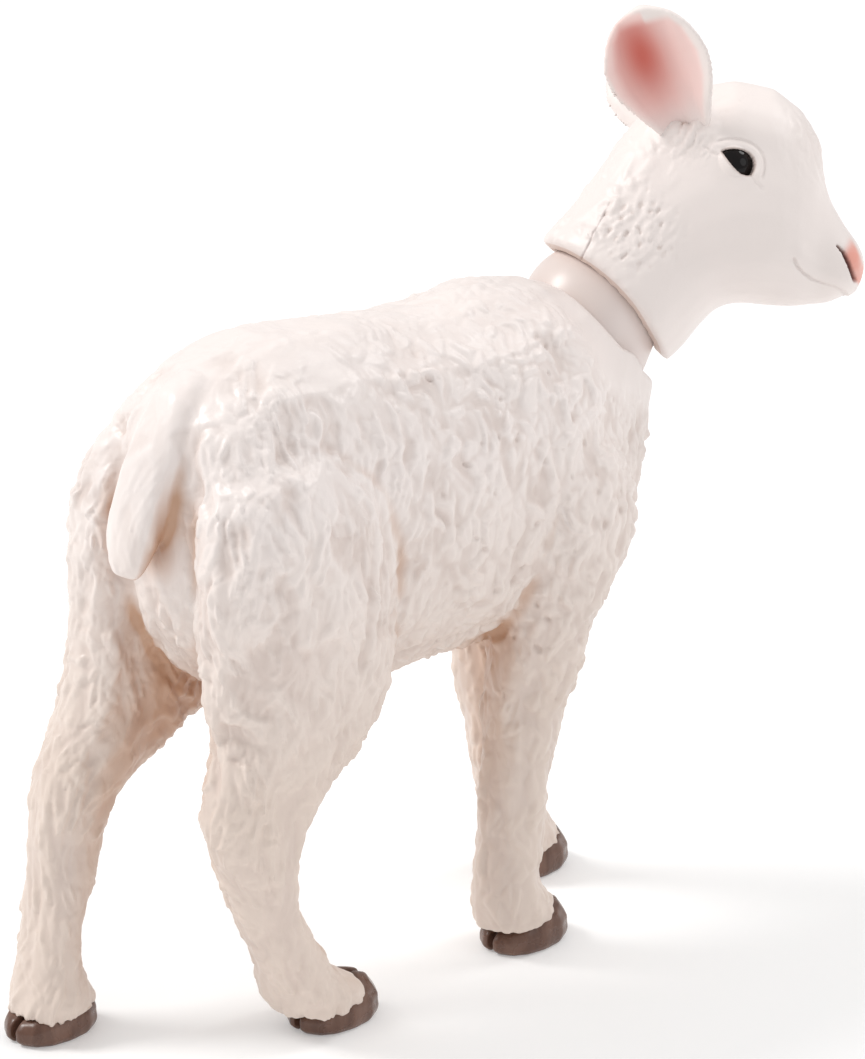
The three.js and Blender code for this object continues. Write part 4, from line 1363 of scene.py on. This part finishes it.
def spin_eye(name, side):
    gaze = unit(EYE_GAZE * [1, side, 1])
    seat = EYE_SEAT * [1, side, 1]
    start = math.asin(SHANK_RADIUS / BALL_RADIUS) - math.pi / 2
    turns = np.linspace(math.pi / 2, start, 26)
    profile = [(BALL_RADIUS * math.cos(turn), BALL_BACK + BALL_RADIUS * math.sin(turn)) for turn in turns]
    profile += [(SHANK_RADIUS, SHANK_END + 0.4), (SHANK_RADIUS - 0.4, SHANK_END), (0, SHANK_END)]
    profile[0] = (0, profile[0][1])
    ahead = unit(np.cross(gaze, [0, 0, 1.0]))
    eye = spin_about("ball_" + name, np.array(profile) * MM, from_head(seat), gaze @ HEAD_WAYS,
                     ahead @ HEAD_WAYS, EYE_STEPS)
    bpy.ops.object.shade_smooth_by_angle(angle=math.radians(40))
    print(name, triangles_in(eye), "triangles")
    return eye


eyes = {name: spin_eye(name, side) for name, side in (("eye_left", 1), ("eye_right", -1))}

# %% [markdown]
# ## Hooves
# One hoof is sculpted and copied to the other three. Fine growth lines run round the horn, the edge at the
# ground is worn round, and the cleft stays sharp.

# %% Sculpt one hoof and copy it
HOOF_VOXEL = 0.3 * MM
HOOF_NODES = ["hoof_rear_left", "hoof_rear_right", "hoof_front_left", "hoof_front_right"]
HOOF_HEIGHT = 14.5 * MM


def middle_of(node):
    """The middle of a node's sole."""
    points = points_of(frame["nodes"][node])
    sole = points[points[:, 2] < 0.3 * MM]
    return np.append((sole[:, :2].min(axis=0) + sole[:, :2].max(axis=0)) / 2, 0)


def sculpt_hoof(name):
    hoof = copy_of("horn_" + name, name)
    apply_modifier(hoof, "REMESH", mode="VOXEL", voxel_size=HOOF_VOXEL)
    smooth(hoof, 24, np.ones(len(hoof.data.vertices)))
    points, normals = points_of(hoof), normals_of(hoof)
    upright = 1 - np.abs(normals[:, 2])
    wall = ramp(upright, 0.2, 0.7) * ramp(points[:, 2], 0.2 * MM, 1.5 * MM)
    waving = points[:, 2] + 0.25 * MM * ripple(points, 5 * MM, 61)
    rings = np.sin(waving * 2 * math.pi / (2.3 * MM))
    fibres = ripple(points * [1, 1, 0.06], 1.4 * MM, 62)
    rise = (0.025 * rings + 0.03 * fibres) * wall + 0.12 * ripple(points, 6 * MM, 63) * wall
    move_points(hoof, points + normals * (rise * MM)[:, None])
    pick(hoof)
    bpy.ops.object.shade_smooth()
    print(name, triangles_in(hoof), "triangles")
    return hoof


def copy_piece(piece, name, shift):
    copy = bpy.data.objects.new(name, piece.data.copy())
    bpy.context.scene.collection.objects.link(copy)
    move_points(copy, points_of(copy) + shift)
    return copy


hooves = {HOOF_NODES[0]: sculpt_hoof(HOOF_NODES[0])}
for node in HOOF_NODES[1:]:
    hooves[node] = copy_piece(hooves[HOOF_NODES[0]], "horn_" + node, middle_of(node) - middle_of(HOOF_NODES[0]))

# %% [markdown]
# ## The neck's dome
# The dome is a smooth turned body in two halves, with a slot in its crown for the tongue and a boss inside
# each half for the pin. It is spun from its half outline, cut in two with Bisect, and gets slot, boss and
# bore from Boolean modifiers. The edge of the slot is rounded with a small bevel.

# %% Turn the dome and cut it
DOME_RADIUS = 15.8
DOME_WALL = 2.4
DOME_RISE = 3.0
DOME_SEAT = -7.7
SHANK_OUTSIDE = 11.6
SHANK_INSIDE = 9.2
FLANGE_RADIUS = 14.2
FLANGE_SPAN = (-12.9, -10.9)
DOME_STEPS = 96
HALF_PARTING = 0.125
SLOT = ((-7.97, 6.73), (-2.8, 2.8), (7.2, 25))
BOSS_RADIUS = 3.4
BORE_RADIUS = 1.9
PIN_END = 12.9
SLOT_BEVEL = 0.3 * MM


def dome_outline():
    inside = DOME_RADIUS - DOME_WALL
    outer = [(DOME_RADIUS * math.cos(turn), DOME_RISE + DOME_RADIUS * math.sin(turn))
             for turn in np.linspace(0, math.pi / 2, 33)]
    inner = [(inside * math.cos(turn), DOME_RISE + inside * math.sin(turn))
             for turn in np.linspace(math.pi / 2, 0, 25)]
    outer[-1], inner[0] = (0, outer[-1][1]), (0, inner[0][1])
    low, high = FLANGE_SPAN
    foot = [(SHANK_INSIDE, DOME_SEAT + DOME_WALL), (SHANK_INSIDE, low), (FLANGE_RADIUS, low),
            (FLANGE_RADIUS, high), (SHANK_OUTSIDE, high), (SHANK_OUTSIDE, DOME_SEAT),
            (DOME_RADIUS - 0.5, DOME_SEAT), (DOME_RADIUS, DOME_SEAT + 0.5)]
    return inner + foot + outer


def neck_matrix(place, size):
    """The world matrix of a cutter: its place in the neck's millimetres and its size along each way."""
    turn = Matrix(NECK_WAYS.T.tolist()).to_4x4()
    at = NECK_AT + np.array(place) @ NECK_WAYS * MM
    return Matrix.Translation(at) @ turn @ Matrix.Diagonal((*(np.array(size) * MM), 1))


def slot_cutter():
    bpy.ops.mesh.primitive_cube_add(size=1)
    low, high = np.array(SLOT).T
    bpy.context.object.matrix_world = neck_matrix((low + high) / 2, high - low)
    return bpy.context.object


def rod_cutter(radius, start, end):
    """A rod across the neck, from one place on its left-right axis to another."""
    bpy.ops.mesh.primitive_cylinder_add(vertices=48, radius=1, depth=1, rotation=(math.pi / 2, 0, 0))
    bpy.ops.object.transform_apply(rotation=True)
    middle = (0, (start + end) / 2, DOME_RISE)
    bpy.context.object.matrix_world = neck_matrix(middle, (radius, abs(end - start), radius))
    return bpy.context.object


def combine(piece, cutter, operation):
    apply_modifier(piece, "BOOLEAN", operation=operation, object=cutter, solver="MANIFOLD")
    bpy.data.objects.remove(cutter)


def cut_neck_half(whole, name, side):
    half = copy_piece(whole, "dome_" + name, np.zeros(3))
    select_faces(half, np.ones(len(half.data.polygons), bool))
    parting = NECK_AT + SIDEWAYS * side * HALF_PARTING * MM
    bpy.ops.mesh.bisect(plane_co=parting, plane_no=SIDEWAYS * side, use_fill=True, clear_inner=True)
    bpy.ops.mesh.select_all(action="SELECT")
    bpy.ops.mesh.normals_make_consistent(inside=False)
    bpy.ops.object.mode_set(mode="OBJECT")
    combine(half, rod_cutter(BOSS_RADIUS, side * 1.5, side * (DOME_RADIUS - 0.6 * DOME_WALL)), "UNION")
    combine(half, slot_cutter(), "DIFFERENCE")
    combine(half, rod_cutter(BORE_RADIUS, 0, side * PIN_END), "DIFFERENCE")
    apply_modifier(half, "BEVEL", width=SLOT_BEVEL, segments=2, angle_limit=math.radians(50))
    pick(half)
    bpy.ops.object.shade_smooth_by_angle(angle=math.radians(35))
    print(name, triangles_in(half), "triangles")
    return half


dome = spin_about("dome", np.array(dome_outline()) * MM, NECK_AT, NECK_UP, NECK_AHEAD, DOME_STEPS)
neck_halves = {name: cut_neck_half(dome, name, side)
               for name, side in (("neck_half_left", 1), ("neck_half_right", -1))}
bpy.data.objects.remove(dome)

# %% [markdown]
# ## Face, ears, horn, eyes and neck: the paint
# The head has the fleece's plastic with a salmon pink nose, dark nostrils and a shaded mouth line. The horn
# is painted glossy brown, darker in streaks. The dome is plain smooth plastic.

# %% Head and ear materials
NOSE_PINK = (0.80, 0.36, 0.29, 1)
SLIT_DARK = (0.12, 0.035, 0.03, 1)
LID_BROWN = (0.30, 0.17, 0.12, 1)
EAR_PALE = (0.91, 0.66, 0.62, 1)
EAR_DEEP = (0.57, 0.118, 0.086, 1)
NECK_CREAM = (0.80, 0.71, 0.68, 1)


def head_material():
    material, tree, shader = new_material("head_plastic")
    # Painted shade: grey in dents and between locks, tan where the head sees little sky and in the skirt.
    pit_shade = spread(tree, attribute(tree, "pit_shade"), 0.1, 0.95, 0.0, 0.5)
    tan = spread(tree, attribute(tree, "shaded"), 0.2, 0.75, 0.0, 0.8)
    cloud = spread(tree, noise(tree, 220.0, 3.0), 0.35, 0.65, 0.75, 1.0)
    pink = add_node(tree, "ShaderNodeMath", {0: attribute(tree, "pink"), 1: cloud}, operation="MULTIPLY")
    color = mixed(tree, pit_shade, WOOL_WHITE, PIT_SHADE_GREY)
    color = mixed(tree, tan, color, SHADE_TAN)
    color = mixed(tree, spread(tree, attribute(tree, "lid"), 0.3, 1.0, 0.0, 0.45), color, LID_BROWN)
    color = mixed(tree, pink.outputs[0], color, NOSE_PINK)
    color = mixed(tree, attribute(tree, "dark"), color, SLIT_DARK)
    rough = spread(tree, noise(tree, 90.0, 3.0), 0.3, 0.7, 0.4, 0.54)
    finish(tree, shader, color, rough, noise(tree, 1300.0, 2.0), 0.15, 0.1 * MM)
    return material


def ear_material():
    material, tree, shader = new_material("ear_plastic")
    cloud = spread(tree, noise(tree, 160.0, 3.0), 0.3, 0.7, 0.8, 1.0)
    pink = add_node(tree, "ShaderNodeMath", {0: attribute(tree, "pink"), 1: cloud}, operation="MULTIPLY")
    # Painted tan shade where the ear sees little sky.
    tan = spread(tree, attribute(tree, "shaded"), 0.3, 0.8, 0.0, 0.5)
    color = mixed(tree, tan, WOOL_WHITE, SHADE_TAN)
    color = mixed(tree, pink.outputs[0], color, EAR_PALE)
    color = mixed(tree, attribute(tree, "deep"), color, EAR_DEEP)
    rough = spread(tree, noise(tree, 90.0, 3.0), 0.3, 0.7, 0.4, 0.55)
    finish(tree, shader, color, rough, noise(tree, 1500.0, 2.0, (1.0, 1.0, 0.3)), 0.15, 0.1 * MM)
    return material


# %% Horn, eye and neck materials
HORN_BROWN = (0.17, 0.088, 0.06, 1)
HORN_DARK = (0.095, 0.042, 0.026, 1)
EYE_BLACK = (0.005, 0.0035, 0.0035, 1)
EYE_BROWN = (0.012, 0.006, 0.005, 1)


def horn_material():
    material, tree, shader = new_material("horn_paint")
    streaks = spread(tree, noise(tree, 420.0, 4.0, (1.0, 1.0, 0.18)), 0.38, 0.66)
    clouds = spread(tree, noise(tree, 120.0, 2.0), 0.4, 0.7, 0.0, 0.7)
    color = mixed(tree, streaks, HORN_BROWN, HORN_DARK)
    color = mixed(tree, clouds, color, HORN_DARK)
    rough = spread(tree, noise(tree, 260.0, 3.0), 0.3, 0.7, 0.2, 0.36)
    finish(tree, shader, color, rough, noise(tree, 900.0, 3.0, (1.0, 1.0, 0.2)), 0.18, 0.1 * MM)
    return material


def eye_material():
    material, tree, shader = new_material("eye_gloss")
    color = mixed(tree, spread(tree, noise(tree, 300.0, 2.0), 0.4, 0.7), EYE_BLACK, EYE_BROWN)
    rough = spread(tree, noise(tree, 400.0, 2.0), 0.3, 0.7, 0.04, 0.08)
    finish(tree, shader, color, rough, noise(tree, 300.0, 1.0), 0.02, 0.02 * MM)
    shader.inputs["Specular IOR Level"].default_value = 0.22
    return material


def plain_material(name, light, dark, roughness, scale, depth):
    """Moulded plastic with a faint cloud in its colour and a fine grain."""
    material, tree, shader = new_material(name)
    color = mixed(tree, spread(tree, noise(tree, 60.0, 2.0), 0.35, 0.7), light, dark)
    rough = spread(tree, noise(tree, 150.0, 3.0), 0.3, 0.7, roughness - 0.05, roughness + 0.07)
    finish(tree, shader, color, rough, noise(tree, scale, 2.0), 0.12, depth)
    return material


def steel_material():
    material, tree, shader = new_material("pin_steel")
    along = noise(tree, 2600.0, 2.0, (1.0, 1.0, 0.08))
    color = mixed(tree, spread(tree, along, 0.35, 0.65), (0.62, 0.62, 0.64, 1), (0.48, 0.48, 0.5, 1))
    finish(tree, shader, color, spread(tree, along, 0.3, 0.7, 0.22, 0.4), along, 0.15, 0.03 * MM)
    shader.inputs["Metallic"].default_value = 1.0
    return material


# %% Hand the pieces over
head_plastic, ear_plastic = head_material(), ear_material()
horn_paint, eye_gloss = horn_material(), eye_material()
neck_plastic = plain_material("neck_plastic", NECK_CREAM, (0.74, 0.64, 0.60, 1), 0.36, 1200.0, 0.05 * MM)
link_plastic = plain_material("link_plastic", (0.75, 0.73, 0.70, 1), (0.66, 0.63, 0.60, 1), 0.5, 900.0, 0.06 * MM)

for node, part in head_parts.items():
    hand_over(part, "wool_" + node, node, "head", head_plastic)
for node, part in ears.items():
    hand_over(part, "cupped_" + node, node, "head", ear_plastic)
for node, part in eyes.items():
    hand_over(part, "ball_" + node, node, "head", eye_gloss)
for node, part in hooves.items():
    hand_over(part, "horn_" + node, node, "body", horn_paint)
for node, part in neck_halves.items():
    hand_over(part, "dome_" + node, node, "neck", neck_plastic)


def repaint(node, material):
    """A CAD node that stays as it is gets a new finish in its material slots."""
    piece = frame["nodes"][node]
    for slot in piece.material_slots:
        slot.material = material
    print(node, "has", len(piece.material_slots), "material slots")


repaint("nod_pin", steel_material())
repaint("head_tongue", link_plastic)
